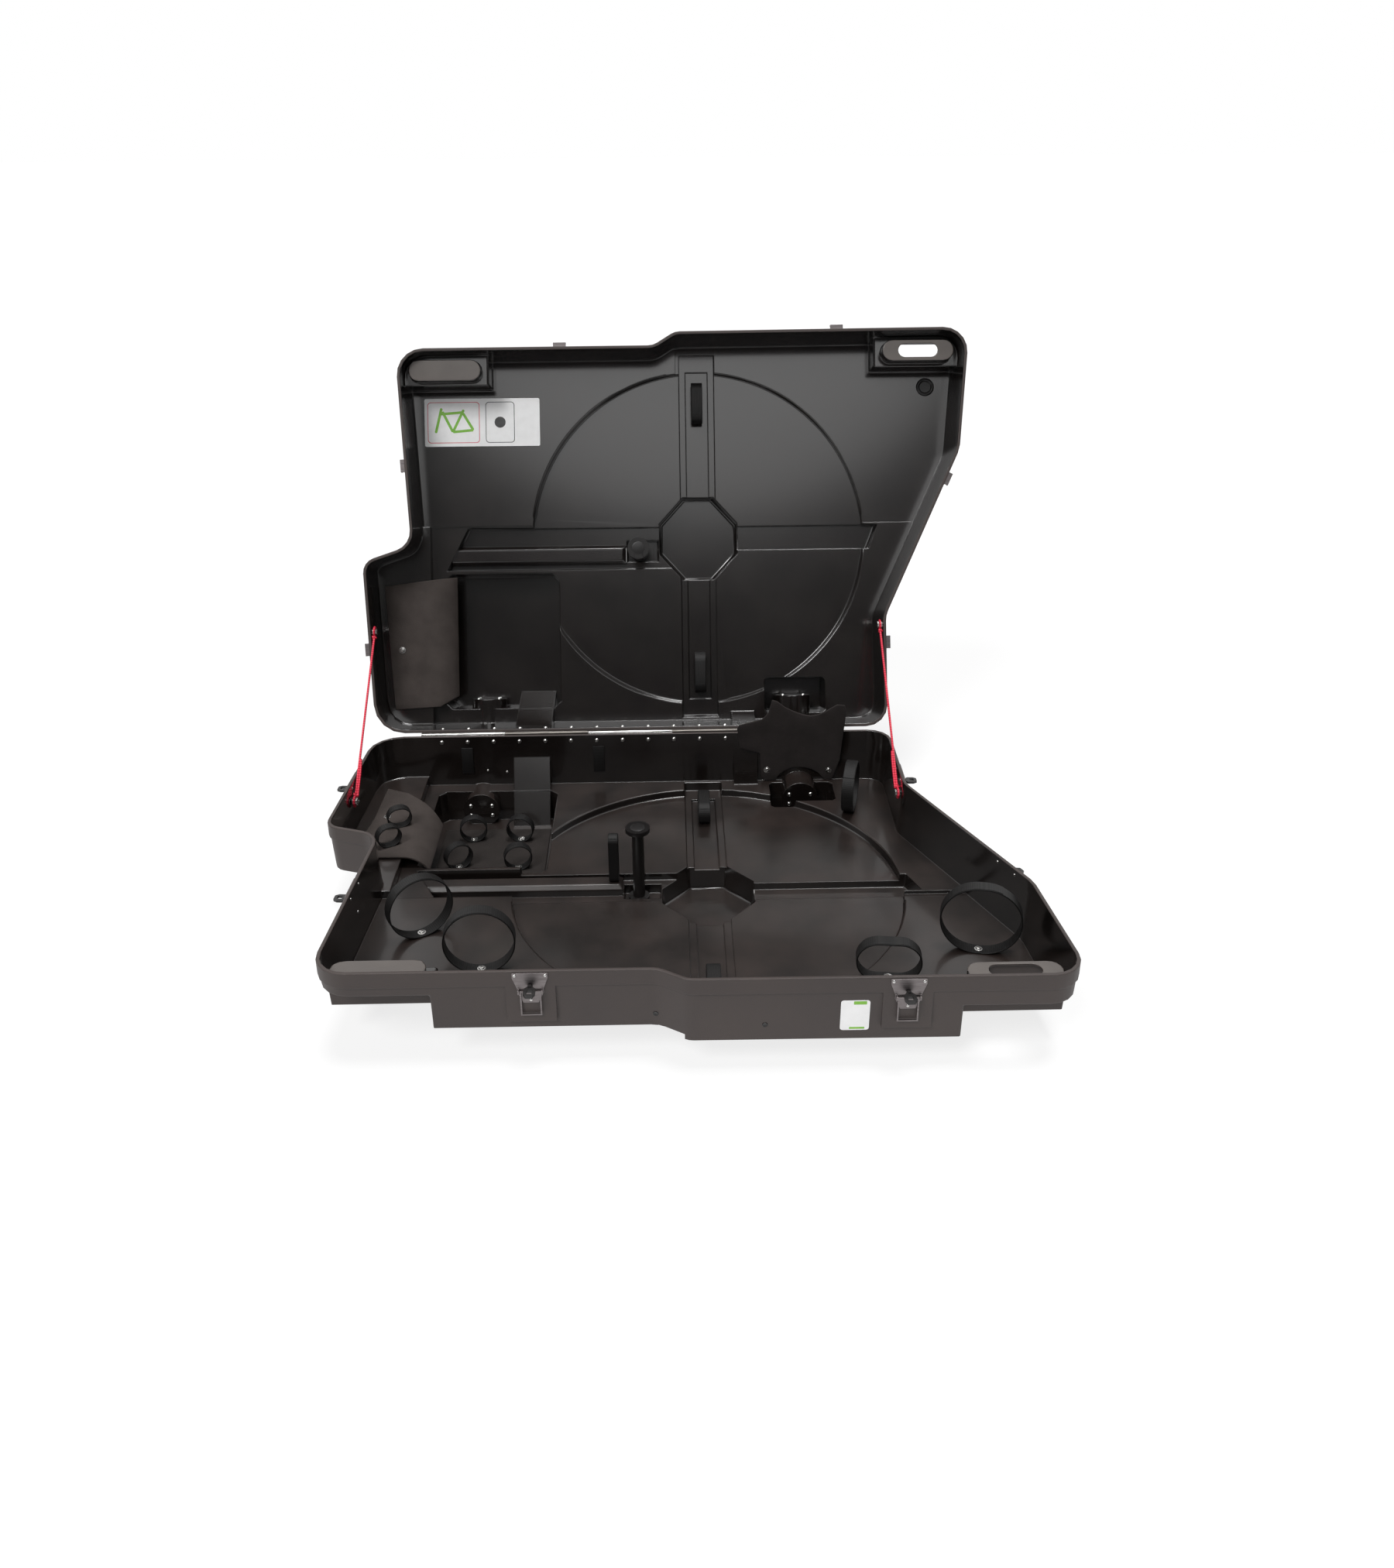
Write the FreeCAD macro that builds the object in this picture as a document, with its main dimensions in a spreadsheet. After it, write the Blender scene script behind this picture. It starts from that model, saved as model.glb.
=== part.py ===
"""Bike travel case: two thermoformed halves on a piano hinge, opened, with casters, latches and fittings.

Each half is drawn in its own half frame: x along the hinge, s away from the hinge, d down from the rim plane.
The base uses Y = -s and the lid Y = +s, both Z = -d, and the lid is then turned open about the hinge.
"""
import FreeCAD, Part
import math
import os
import re
from FreeCAD import Placement, Rotation, Vector

BASE = -1
LID = 1
HALVES = {BASE: "base", LID: "lid"}

# Driving dimensions, in millimetres and degrees.
SIZES = {
    # the case as a whole
    "hub_from_hinge": 447.0,
    "lid_open_angle": 112.0,
    "wall": 4.0,
    "draft": 3.0,
    "rim_band": 28.0,
    "rim_step": 3.0,
    "rim_gap": 0.3,
    # outline of the rim: reach to the left and right of the hub, and distance from the hinge
    "hinge_face": 4.6,
    "hinge_corner_left": 742.0,
    "bulge_reach": 766.0,
    "bulge_from_hinge": 395.0,
    "waist_reach": 655.0,
    "waist_from_hinge": 432.0,
    "front_left_reach": 684.0,
    "front_left_from_hinge": 876.0,
    "jog_near": 100.0,
    "jog_far": 50.0,
    "front_right_from_hinge": 909.0,
    "front_right_reach": 622.0,
    "front_right_corner": 914.0,
    "bend_reach": 597.0,
    "bend_from_hinge": 636.0,
    "slope_foot_reach": 424.0,
    "slope_foot_from_hinge": 258.0,
    "hinge_corner_right": 426.0,
    # floor levels inside, measured down from the rim
    "strip_depth": 100.0,
    "front_left_depth": 117.0,
    "front_right_depth": 128.0,
    "hinge_side_depth": 121.0,
    "well_depth": 137.0,
    "arm_depth": 142.0,
    "channel_depth": 152.0,
    "deep_depth": 192.0,
    # relief of the floor
    "strip_edge": 628.0,
    "step_line": 480.0,
    "well_radius": 392.0,
    "arm_half_width": 46.0,
    "arm_front": 903.0,
    "slot_half_width": 31.0,
    "slot_depth": 148.0,
    "slot_front": 846.0,
    "slot_back": 60.0,
    "channel_near": 414.0,
    "channel_end": 405.0,
    "channel_slant": 27.0,
    "left_channel_near": 372.0,
    "left_channel_end": 600.0,
    "bar_near": 389.0,
    "bar_far": 433.0,
    "bar_end": 598.0,
    "bar_depth": 129.0,
    "bar_bevel": 8.0,
    "hub_flat": 98.0,
    "hub_corner": 39.0,
    "hub_reach": 103.0,
    "hub_side": 38.0,
    "pocket_left": 602.0,
    "pocket_right": 327.0,
    "pocket_near": 46.0,
    "pocket_corner": 18.0,
    "cup_pocket_left": 148.0,
    "cup_pocket_right": 300.0,
    "cup_pocket_near": 26.0,
    "cup_pocket_far": 118.0,
    "cup_pocket_corner": 10.0,
    "gusset_left": 431.0,
    "gusset_right": 348.0,
    "gusset_top": 46.0,
    "gusset_reach": 92.0,
    "small_gusset_left": 72.0,
    "small_gusset_right": 126.0,
    "small_gusset_top": 40.0,
    "small_gusset_reach": 62.0,
    # hand holds in the front corners
    "grip_length": 165.0,
    "grip_width": 48.0,
    "grip_depth": 24.0,
    "left_grip_x": 576.0,
    "left_grip_from_hinge": 830.0,
    "left_corner_depth": 46.0,
    "right_grip_x": 508.0,
    "right_grip_from_hinge": 866.0,
    "right_corner_depth": 60.0,
    "corner_margin": 15.0,
    "hand_slot_length": 91.0,
    "hand_slot_width": 31.0,
    # caster cups and casters
    "cup_radius": 37.0,
    "cup_roof": 72.0,
    "left_cup_x": 504.0,
    "left_cup_depth": 158.0,
    "right_cup_x": 220.0,
    "right_cup_depth": 141.0,
    "caster_plate_length": 62.0,
    "caster_plate_width": 36.0,
    "caster_plate_thickness": 2.5,
    "race_radius": 15.0,
    "race_height": 3.0,
    "running_gap": 0.3,
    "crown_thickness": 4.0,
    "crown_half_length": 15.0,
    "cheek_thickness": 3.0,
    "cheek_end_radius": 7.0,
    "caster_trail": 10.0,
    "caster_axle_height": 79.0,
    "caster_wheel_radius": 22.0,
    "caster_wheel_width": 16.0,
    "caster_side_gap": 1.0,
    "caster_axle_radius": 2.5,
    "bore_clearance": 0.1,
    # hinge
    "hinge_left": 639.0,
    "hinge_right": 311.0,
    "knuckle_radius": 4.0,
    "knuckle_count": 5.0,
    "knuckle_gap": 0.6,
    "hinge_pin_radius": 1.5,
    "hinge_bore_radius": 1.8,
    "leaf_thickness": 1.5,
    "leaf_top": 4.5,
    "leaf_foot": 26.0,
    # turn latches and their keepers
    "latch_pad_width": 84.0,
    "latch_pad_height": 104.0,
    "latch_plate_top": 3.0,
    "latch_plate_height": 60.0,
    "latch_plate_width": 60.0,
    "latch_neck_width": 45.0,
    "latch_foot_width": 26.0,
    "latch_plate_thickness": 2.0,
    "handle_drop": 28.0,
    "handle_post_radius": 5.0,
    "handle_post_top": 10.0,
    "handle_pivot_radius": 2.5,
    "handle_pivot_height": 2.0,
    "handle_width": 20.0,
    "handle_thickness": 5.0,
    "handle_tip": 33.0,
    "handle_eye": 9.0,
    "hook_drop": 38.0,
    "hook_height": 4.5,
    "hook_rod_radius": 1.2,
    "hook_length": 47.0,
    "hook_half_width": 16.7,
    "hook_bar": 2.6,
    "ear_inside": 18.4,
    "ear_thickness": 3.0,
    "ear_reach": 4.0,
    "keeper_width": 29.0,
    "keeper_plate_height": 30.0,
    "keeper_stem_drop": 3.0,
    "keeper_stem_thickness": 4.0,
    "keeper_reach": 7.0,
    "keeper_lip_length": 7.0,
    "keeper_lip_thickness": 2.3,
    # foam sheets
    "pad_thickness": 5.0,
    "pad_bend": 626.0,
    "pad_bend_radius": 58.0,
    "pad_bend_angle": 62.0,
    "pad_lift": 0.3,
    "mat_thickness": 4.0,
    "mat_left": 580.0,
    "mat_right": 345.0,
    "mat_near": 106.0,
    "mat_far": 352.0,
    # guard sheet at the hinge wall
    "guard_thickness": 4.0,
    "guard_from_hinge": 17.0,
    # straps
    "strap_thickness": 2.5,
    "small_loop_diameter": 60.0,
    "small_loop_width": 20.0,
    "large_loop_width": 26.0,
    "seat_gap": 0.3,
    "wheel_strap_width": 26.0,
    "wheel_strap_length": 96.0,
    "wheel_strap_height": 48.0,
    "wheel_strap_offset": 318.0,
    "bar_strap_x": 190.0,
    "bar_strap_width": 20.0,
    "bar_strap_height": 107.0,
    "wall_strap_width": 26.0,
    "wall_strap_length": 64.0,
    # anti-crush posts
    "post_x": 140.0,
    "post_from_hinge": 419.0,
    "post_floor_depth": 172.0,
    "post_pocket_left": 36.0,
    "post_pocket_right": 50.0,
    "post_pocket_half": 31.0,
    "post_foot_radius": 21.0,
    "post_foot_height": 12.0,
    "post_column_radius": 12.0,
    "post_cap_radius": 24.5,
    "post_cap_height": 9.0,
    "post_top_depth": 0.6,
    # lanyards
    "lanyard_radius": 2.5,
    "anchor_radius": 8.0,
    "anchor_height": 11.0,
    "anchor_from_hinge": 236.0,
    "lid_anchor_depth": 14.0,
    "base_anchor_depth": 36.0,
}

doc = FreeCAD.newDocument("bike_travel_case")
sheet = doc.addObject("Spreadsheet::Sheet", "Sizes")
for row, (alias, number) in enumerate(SIZES.items(), 1):
    sheet.set(f"A{row}", alias)
    sheet.set(f"B{row}", str(number))
    sheet.setAlias(f"B{row}", alias)
doc.recompute()

NODES = []

# Degrees of each straight step round a corner of an outline
CORNER_STEP = 23.0


def size(alias):
    """The value of one cell of the sheet."""
    return float(sheet.get(alias))


def bind(item, prop, text):
    """Ties a property to the sheet: every word in the text is an alias."""
    item.setExpression(prop, re.sub(r"[a-z][a-z_]*", lambda word: "Sizes." + word.group(), text))


def half_placement(side):
    """Where a half stands: the base flat on the floor, the lid turned open about the hinge."""
    turn = 180.0 - size("lid_open_angle") if side == LID else 0.0
    floor = size("deep_depth") + size("wall")
    return Placement(Vector(0, size("hub_from_hinge"), floor), Rotation(Vector(1, 0, 0), turn))


def spot(side, x, s, d):
    """A point of a half, in its half frame."""
    return Vector(x, side * s, -d)


def node(item, name, side, local=None):
    """Names a finished piece and puts it in its place on its half."""
    item.Label = name
    item.Placement = half_placement(side).multiply(local or Placement())
    NODES.append(item)
    return item


def feature(name, shape):
    """A piece whose shape is worked out from the sheet in code."""
    item = doc.addObject("Part::Feature", name)
    item.Shape = shape
    return item


def rounded_outline(points):
    """Lines of a closed outline, its corners rounded in short straight steps; points are (corner, radius)."""
    path = []
    count = len(points)
    for index, (corner, radius) in enumerate(points):
        before = (points[index - 1][0] - corner).normalize()
        after = (points[(index + 1) % count][0] - corner).normalize()
        half = before.getAngle(after) / 2
        centre = corner + (before + after).normalize() * (radius / math.sin(half))
        spoke = corner + before * (radius / math.tan(half)) - centre
        sweep = 180 - math.degrees(2 * half)
        if before.cross(after).z > 0:
            sweep = -sweep
        steps = math.ceil(abs(sweep) / CORNER_STEP) if radius > 0 else 0
        for step in range(steps + 1):
            turn = Rotation(Vector(0, 0, 1), sweep * step / max(steps, 1))
            path.append(centre + turn.multVec(spoke))
    return [Part.LineSegment(start, path[(index + 1) % len(path)]) for index, start in enumerate(path)]


def outline_sketch(name, side, points):
    """A flat outline on the rim plane; points are (x, s, corner radius)."""
    sketch = doc.addObject("Sketcher::SketchObject", name)
    sketch.addGeometry(rounded_outline([(spot(side, x, s, 0), radius) for x, s, radius in points]), False)
    return sketch


def offset_outline(name, outline, amount):
    """The outline, grown or shrunk by an amount tied to the sheet."""
    grown = doc.addObject("Part::Offset2D", name)
    grown.Source = outline
    grown.Join = 2
    bind(grown, "Value", amount)
    return grown


def prism(name, outline, top, depth, taper="0"):
    """An outline carried down from one depth to another, with draft."""
    solid = doc.addObject("Part::Extrusion", name)
    solid.Base = outline
    solid.DirMode = "Custom"
    solid.Dir = Vector(0, 0, -1)
    solid.Solid = True
    bind(solid, "LengthFwd", f"({depth}) - ({top})")
    bind(solid, "TaperAngle", taper)
    bind(solid, "Placement.Base.z", f"-({top})")
    return solid


def block(name, side, x0, x1, s0, s1, d0, d1):
    """A box between two values of x, s and d, all tied to the sheet."""
    box = doc.addObject("Part::Box", name)
    bind(box, "Length", f"({x1}) - ({x0})")
    bind(box, "Width", f"({s1}) - ({s0})")
    bind(box, "Height", f"({d1}) - ({d0})")
    bind(box, "Placement.Base.x", x0)
    bind(box, "Placement.Base.y", f"-({s1})" if side == BASE else s0)
    bind(box, "Placement.Base.z", f"-({d1})")
    return box


def fuse(name, shapes):
    result = doc.addObject("Part::MultiFuse", name)
    result.Refine = True
    result.Shapes = shapes
    return result


def common(name, shapes):
    result = doc.addObject("Part::MultiCommon", name)
    result.Shapes = shapes
    return result


def cut(name, base, tool):
    result = doc.addObject("Part::Cut", name)
    result.Refine = True
    result.Base = base
    result.Tool = tool
    return result


# Outline of the rim, the same for both halves

OUTLINE = [
    (-size("hinge_corner_left"), size("hinge_face"), 70.0),
    (-size("bulge_reach"), size("bulge_from_hinge"), 35.0),
    (-size("waist_reach"), size("waist_from_hinge"), 45.0),
    (-size("front_left_reach"), size("front_left_from_hinge"), 60.0),
    (-size("jog_near"), size("front_left_from_hinge") + 2.0, 40.0),
    (-size("jog_far"), size("front_right_from_hinge"), 40.0),
    (size("front_right_reach"), size("front_right_corner"), 55.0),
    (size("bend_reach"), size("bend_from_hinge"), 60.0),
    (size("slope_foot_reach"), size("slope_foot_from_hinge"), 60.0),
    (size("hinge_corner_right"), size("hinge_face"), 50.0),
]


def wall_line(edge, s):
    """The x of one edge of the outline, at a distance from the hinge."""
    x0, s0, r0 = OUTLINE[edge]
    x1, s1, r1 = OUTLINE[(edge + 1) % len(OUTLINE)]
    return x0 + (x1 - x0) * (s - s0) / (s1 - s0)


# Latch stations: the outline edge that a latch sits on, and how far along it
LATCHES = [
    ("front_left", 3, 0.637),
    ("front_right", 5, 0.548),
    ("left_front", 2, 0.405),
    ("left_rear", 0, 0.49),
    ("right_front", 7, 0.175),
    ("right_rear", 8, 0.24),
]


def latch_frame(side, edge, along):
    """Local frame of a latch on the wall: X along the wall, Y up to the rim, Z out of the case."""
    start = spot(side, OUTLINE[edge][0], OUTLINE[edge][1], 0)
    far = OUTLINE[(edge + 1) % len(OUTLINE)]
    end = spot(side, far[0], far[1], 0)
    along_wall = (end - start).normalize()
    outward = Vector(along_wall.y, -along_wall.x, 0)
    middle = spot(side, 0, size("hub_from_hinge"), 0)
    origin = start + (end - start) * along
    if outward.dot(origin - middle) < 0:
        outward = -outward
    up = Vector(0, 0, 1)
    return Placement(origin, Rotation(up.cross(outward), up, outward, "XYZ"))


# Shells


def half_form(tag, side, rim_outline, grow):
    """The solid that one half fills: its cavity, or with the wall added its outside."""
    outside = grow != "0"
    inset = "rim_step" if outside else "rim_step + wall"
    body_outline = offset_outline(f"{tag}_outline", rim_outline, f"-({inset})")

    def main_prism(label, depth):
        return prism(f"{tag}_{label}", body_outline, "rim_band", f"{depth} + {grow}", "-draft")

    def region(label, depth, x0, x1, s0, s1):
        limits = block(f"{tag}_{label}_limits", side, f"{x0} - {grow}", f"{x1} + {grow}",
                       f"{s0} - {grow}", f"{s1} + {grow}", "0", f"{depth} + 2 * wall")
        return common(f"{tag}_{label}_floor", [main_prism(label, depth), limits])

    def relief(label, depth, points):
        outline = outline_sketch(f"{tag}_{label}_outline", side, points)
        if outside:
            outline = offset_outline(f"{tag}_{label}_grown", outline, grow)
        return prism(f"{tag}_{label}", outline, "strip_depth / 2", f"{depth} + {grow}", "-draft")

    def ring(label, depth, radius):
        cone = doc.addObject("Part::Cone", f"{tag}_{label}")
        slope = math.tan(math.radians(size("draft")))
        bind(cone, "Height", f"{depth} + {grow} - strip_depth")
        bind(cone, "Radius2", f"{radius} + {grow}")
        bind(cone, "Radius1", f"{radius} + {grow} - ({depth} + {grow} - strip_depth) * {slope:.6f}")
        bind(cone, "Placement.Base.y", f"{side} * hub_from_hinge")
        bind(cone, "Placement.Base.z", f"-({depth} + {grow})")
        return cone

    arm = size("arm_half_width")
    slot = size("slot_half_width")
    hub = size("hub_from_hinge")
    face = size("hinge_face") + size("rim_step") + size("wall")
    step = size("step_line")
    far = "2 * front_right_corner"

    if outside:
        pieces = [prism(f"{tag}_band", rim_outline, "rim_gap", "rim_band + rim_step")]
    else:
        pieces = [prism(f"{tag}_band", body_outline, "0", "rim_band")]
    pieces += [
        main_prism("strip", "strip_depth"),
        region("front_left", "front_left_depth", f"-({far})", "0", "step_line", far),
        region("front_right", "front_right_depth", "-jog_far", far, "step_line", far),
        region("hinge_side", "hinge_side_depth", "-strip_edge", far, "0", "step_line"),
        ring("well", "well_depth", "well_radius"),
        relief("arm", "arm_depth", [(-arm, face + 8, 0), (arm, face + 8, 0),
                                    (arm, size("arm_front") - face - 8, 0),
                                    (-arm, size("arm_front") - face - 8, 0)]),
        relief("slot", "slot_depth", [(-slot, size("slot_back"), 0), (slot, size("slot_back"), 0),
                                      (slot, size("slot_front"), 0), (-slot, size("slot_front"), 0)]),
        relief("channel_right", "channel_depth",
               [(0, size("channel_near"), 0), (size("channel_end"), size("channel_near"), 0),
                (size("channel_end") + size("channel_slant"), step, 0), (0, step, 0)]),
        relief("channel_left", "channel_depth",
               [(0, size("left_channel_near"), 0),
                (-size("left_channel_end"), size("left_channel_near"), 0),
                (-size("left_channel_end") + 2 * size("channel_slant"), step, 0), (0, step, 0)]),
        relief("hub", "deep_depth",
               [(x * size(reach), hub + y * size(rise), 0) for x, reach, y, rise in (
                   (-1, "hub_corner", 1, "hub_reach"), (1, "hub_corner", 1, "hub_reach"),
                   (1, "hub_flat", 1, "hub_side"), (1, "hub_flat", -1, "hub_side"),
                   (1, "hub_corner", -1, "hub_reach"), (-1, "hub_corner", -1, "hub_reach"),
                   (-1, "hub_flat", -1, "hub_side"), (-1, "hub_flat", 1, "hub_side"))]),
        relief("pocket", "deep_depth",
               cropped(-size("pocket_left"), -size("pocket_right"), size("pocket_near"),
                       size("left_channel_near"), size("pocket_corner"))),
        relief("post_pocket", "post_floor_depth",
               [(-size("post_x") + x, size("post_from_hinge") + s * size("post_pocket_half"), 0) for x, s in (
                   (-size("post_pocket_left"), -1), (size("post_pocket_right"), -1),
                   (size("post_pocket_right"), 1), (-size("post_pocket_left"), 1))]),
        relief("cup_pocket", "deep_depth",
               cropped(size("cup_pocket_left"), size("cup_pocket_right"), size("cup_pocket_near"),
                       size("cup_pocket_far"), size("cup_pocket_corner"))),
    ]
    filled = fuse(f"{tag}_filled", pieces)
    return cut(f"{tag}_form", filled, fuse(f"{tag}_raised", raised_forms(tag, side, grow)))


def cropped(x0, x1, s0, s1, crop):
    """A rectangle with its corners cropped."""
    return [(x0 + crop, s0, 0), (x1 - crop, s0, 0), (x1, s0 + crop, 0), (x1, s1 - crop, 0),
            (x1 - crop, s1, 0), (x0 + crop, s1, 0), (x0, s1 - crop, 0), (x0, s0 + crop, 0)]


def stadium(x, s, length, width):
    """Four corners of a slot with round ends."""
    end = width / 2 - 0.01
    return [(x + a * length / 2, s + b * width / 2, end) for a, b in ((-1, -1), (1, -1), (1, 1), (-1, 1))]


def raised_forms(tag, side, grow):
    """What stands up from the floor of a half: cups, gussets, the bar and the hand holds."""
    deep = "deep_depth + 3 * wall"
    outer = "2 * front_right_corner"
    forms = []
    for name, sign, x, depth in (("left", -1, "left_cup_x", "left_cup_depth"),
                                 ("right", 1, "right_cup_x", "right_cup_depth")):
        cup = doc.addObject("Part::Cylinder", f"{tag}_{name}_cup")
        bind(cup, "Radius", f"cup_radius + wall - {grow}")
        bind(cup, "Height", f"cup_roof - {grow} + rim_band")
        cup.Placement.Rotation = Rotation(Vector(1, 0, 0), -90 * side)
        bind(cup, "Placement.Base.x", f"{sign} * {x}")
        bind(cup, "Placement.Base.y", f"{-side} * rim_band")
        bind(cup, "Placement.Base.z", f"-{depth}")
        forms.append(cup)

    for name, left, right, top, reach in (
            ("gusset", "-gusset_left", "-gusset_right", "gusset_top", "gusset_reach"),
            ("small_gusset", "small_gusset_left", "small_gusset_right", "small_gusset_top",
             "small_gusset_reach")):
        wedge = doc.addObject("Part::Wedge", f"{tag}_{name}")
        for prop, text in (("Xmin", f"{left} + {grow}"), ("Xmax", f"{right} - {grow}"),
                           ("X2min", f"{left} + {grow}"), ("X2max", f"{right} - {grow}"),
                           ("Ymin", f"-({deep})"), ("Ymax", f"-({top} + {grow})"),
                           ("Zmin", "-rim_band"), ("Zmax", f"{reach} - {grow}"),
                           ("Z2min", "-rim_band"), ("Z2max", f"hinge_face + rim_step + wall / 2 - {grow} / 2")):
            bind(wedge, prop, text)
        wedge.Placement.Rotation = Rotation(Vector(1, 0, 0), Vector(0, 0, 1), Vector(0, -1, 0), "XYZ")
        if side == LID:
            mirrored = doc.addObject("Part::Mirroring", f"{tag}_{name}_mirrored")
            mirrored.Source = wedge
            mirrored.Normal = Vector(0, 1, 0)
            wedge = mirrored
        forms.append(wedge)

    bar = block(f"{tag}_bar_block", side, f"-bar_end + {grow}", "-post_x - post_pocket_left + wall",
                f"bar_near + {grow}", f"bar_far - {grow}", f"bar_depth + {grow}", deep)
    doc.recompute()
    top = bar.Shape.BoundBox.ZMax
    bevelled = doc.addObject("Part::Chamfer", f"{tag}_bar")
    bevelled.Base = bar
    bevelled.Edges = [
        (index, size("bar_bevel"), size("bar_bevel"))
        for index, edge in enumerate(bar.Shape.Edges, 1)
        if all(abs(vertex.Z - top) < 0.01 for vertex in edge.Vertexes)
    ]
    forms.append(bevelled)

    half_grip = "grip_length / 2 + corner_margin"
    rear_margin = "grip_width / 2 + corner_margin / 2"
    corners = (
        ("left", f"-({outer})", f"-left_grip_x + {half_grip} - {grow}", "left_grip_from_hinge", "left_corner_depth"),
        ("right", f"right_grip_x - ({half_grip}) + {grow}", outer, "right_grip_from_hinge", "right_corner_depth"),
    )
    for name, x0, x1, place, depth in corners:
        forms.append(block(f"{tag}_{name}_corner", side, x0, x1, f"{place} - ({rear_margin}) + {grow}", outer,
                           f"{depth} + {grow}", deep))
        sign = -1 if name == "left" else 1
        outline = outline_sketch(f"{tag}_{name}_grip_outline", side,
                                 stadium(sign * size(f"{name}_grip_x"), size(place), size("grip_length"),
                                         size("grip_width")))
        if grow != "0":
            outline = offset_outline(f"{tag}_{name}_grip_inside", outline, f"-{grow}")
        forms.append(prism(f"{tag}_{name}_grip", outline, f"grip_depth + {grow}", f"{depth} + {grow} + wall"))
    return forms


def half_shell(side):
    """One thermoformed half: its outside less its cavity, with latch pads and the hand slot."""
    tag = HALVES[side]
    rim_outline = outline_sketch(f"{tag}_rim_outline", side, OUTLINE)
    outside = half_form(f"{tag}_outside", side, rim_outline, "wall")
    cavity = half_form(f"{tag}_cavity", side, rim_outline, "0")
    pads = []
    for name, edge, along in LATCHES:
        pad = doc.addObject("Part::Box", f"{tag}_{name}_pad")
        bind(pad, "Length", "latch_pad_width")
        bind(pad, "Width", "latch_pad_height")
        bind(pad, "Height", "rim_step + 3 * wall")
        middle = Vector(-size("latch_pad_width") / 2, -size("latch_pad_height"),
                        -size("rim_step") - 3 * size("wall"))
        pad.Placement = latch_frame(side, edge, along).multiply(Placement(middle, Rotation()))
        pads.append(pad)
    skin = cut(f"{tag}_skin", fuse(f"{tag}_padded", [outside] + pads), cavity)
    hole_outline = outline_sketch(f"{tag}_hand_slot_outline", side,
                                  stadium(size("right_grip_x"), size("right_grip_from_hinge"),
                                          size("hand_slot_length"), size("hand_slot_width")))
    hole = prism(f"{tag}_hand_slot", hole_outline, "0", "right_corner_depth")
    return node(cut(f"{tag}_shell", skin, hole), f"{tag}_shell", side)


half_shell(BASE)
half_shell(LID)


# Helpers for the fittings


def body_profile(name, plane, geometry):
    """A body with one sketch on one of its own planes."""
    body = doc.addObject("PartDesign::Body", name)
    sketch = body.newObject("Sketcher::SketchObject", f"{name}_profile")
    support = [item for item in body.Origin.OriginFeatures if item.Role == plane][0]
    sketch.AttachmentSupport = [(support, "")]
    sketch.MapMode = "FlatFace"
    sketch.addGeometry(geometry, False)
    return body, sketch


def polygon(points):
    """Closed lines through points given as pairs."""
    corners = [Vector(a, b, 0) for a, b in points]
    return [Part.LineSegment(corner, corners[(index + 1) % len(corners)]) for index, corner in enumerate(corners)]


def padded(name, plane, geometry, length):
    """A flat piece: a sketch given its thickness."""
    body, sketch = body_profile(name, plane, geometry)
    pad = body.newObject("PartDesign::Pad", f"{name}_pad")
    pad.Profile = sketch
    bind(pad, "Length", length)
    return body


def turned(name, points):
    """A round piece: pairs of radius and height turned about the vertical."""
    body, sketch = body_profile(name, "XZ_Plane", polygon(points))
    turn = body.newObject("PartDesign::Revolution", f"{name}_turn")
    turn.Profile = sketch
    turn.ReferenceAxis = (sketch, ["V_Axis"])
    turn.Angle = 360
    return body


def box(x0, x1, y0, y1, z0, z1):
    return Part.makeBox(x1 - x0, y1 - y0, z1 - z0, Vector(x0, y0, z0))


def rod(radius, length, start, direction):
    return Part.makeCylinder(radius, length, start, direction)


def moved(shape, placement):
    """A copy of a shape, carried by a placement."""
    copy = shape.copy()
    copy.Placement = placement.multiply(copy.Placement)
    return copy


def group(shapes):
    """Several separate solids of one node."""
    return Part.makeCompound(shapes)


# Piano hinge on the outer face of both hinge walls


def hinge_leaf(side):
    """One leaf with every second knuckle."""
    face = size("hinge_face")
    thin = size("leaf_thickness")
    radius = size("knuckle_radius")
    bore = size("hinge_bore_radius")
    count = int(size("knuckle_count"))
    pitch = (size("hinge_left") + size("hinge_right")) / count
    first = 0 if side == BASE else 1
    ends = (face - thin) * side, face * side
    solids = [box(-size("hinge_left"), size("hinge_right"), min(ends), max(ends), -size("leaf_foot"),
                  -size("leaf_top"))]
    tab = (radius * 0.65) * side, face * side
    for index in range(first, count, 2):
        start = -size("hinge_left") + index * pitch + size("knuckle_gap") / 2
        length = pitch - size("knuckle_gap")
        solids.append(rod(radius, length, Vector(start, 0, 0), Vector(1, 0, 0)))
        solids.append(box(start, start + length, min(tab), max(tab), -size("leaf_top"), 0))
    hole = rod(bore, size("hinge_left") + size("hinge_right") + 2, Vector(-size("hinge_left") - 1, 0, 0),
               Vector(1, 0, 0))
    name = f"hinge_leaf_{HALVES[side]}"
    return node(feature(name, solids[0].multiFuse(solids[1:]).removeSplitter().cut(hole)), name, side)


hinge_leaf(BASE)
hinge_leaf(LID)
pin = doc.addObject("Part::Cylinder", "hinge_pin")
bind(pin, "Radius", "hinge_pin_radius")
bind(pin, "Height", "hinge_left + hinge_right")
along_hinge = Rotation(Vector(0, 1, 0), 90)
node(pin, "hinge_pin", BASE, Placement(Vector(-size("hinge_left"), 0, 0), along_hinge))


# Swivel casters in the cups


CUPS = [("left", -size("left_cup_x"), size("left_cup_depth")),
        ("right", size("right_cup_x"), size("right_cup_depth"))]


def caster_frame(side, x, depth):
    """Local frame of a caster: origin on the roof of its cup, Z out of the case, X along the hinge."""
    turn = Rotation(Vector(1, 0, 0), Vector(0, 0, side), Vector(0, -side, 0), "XYZ")
    return Placement(spot(side, x, size("cup_roof") - size("wall"), depth), turn)


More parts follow.
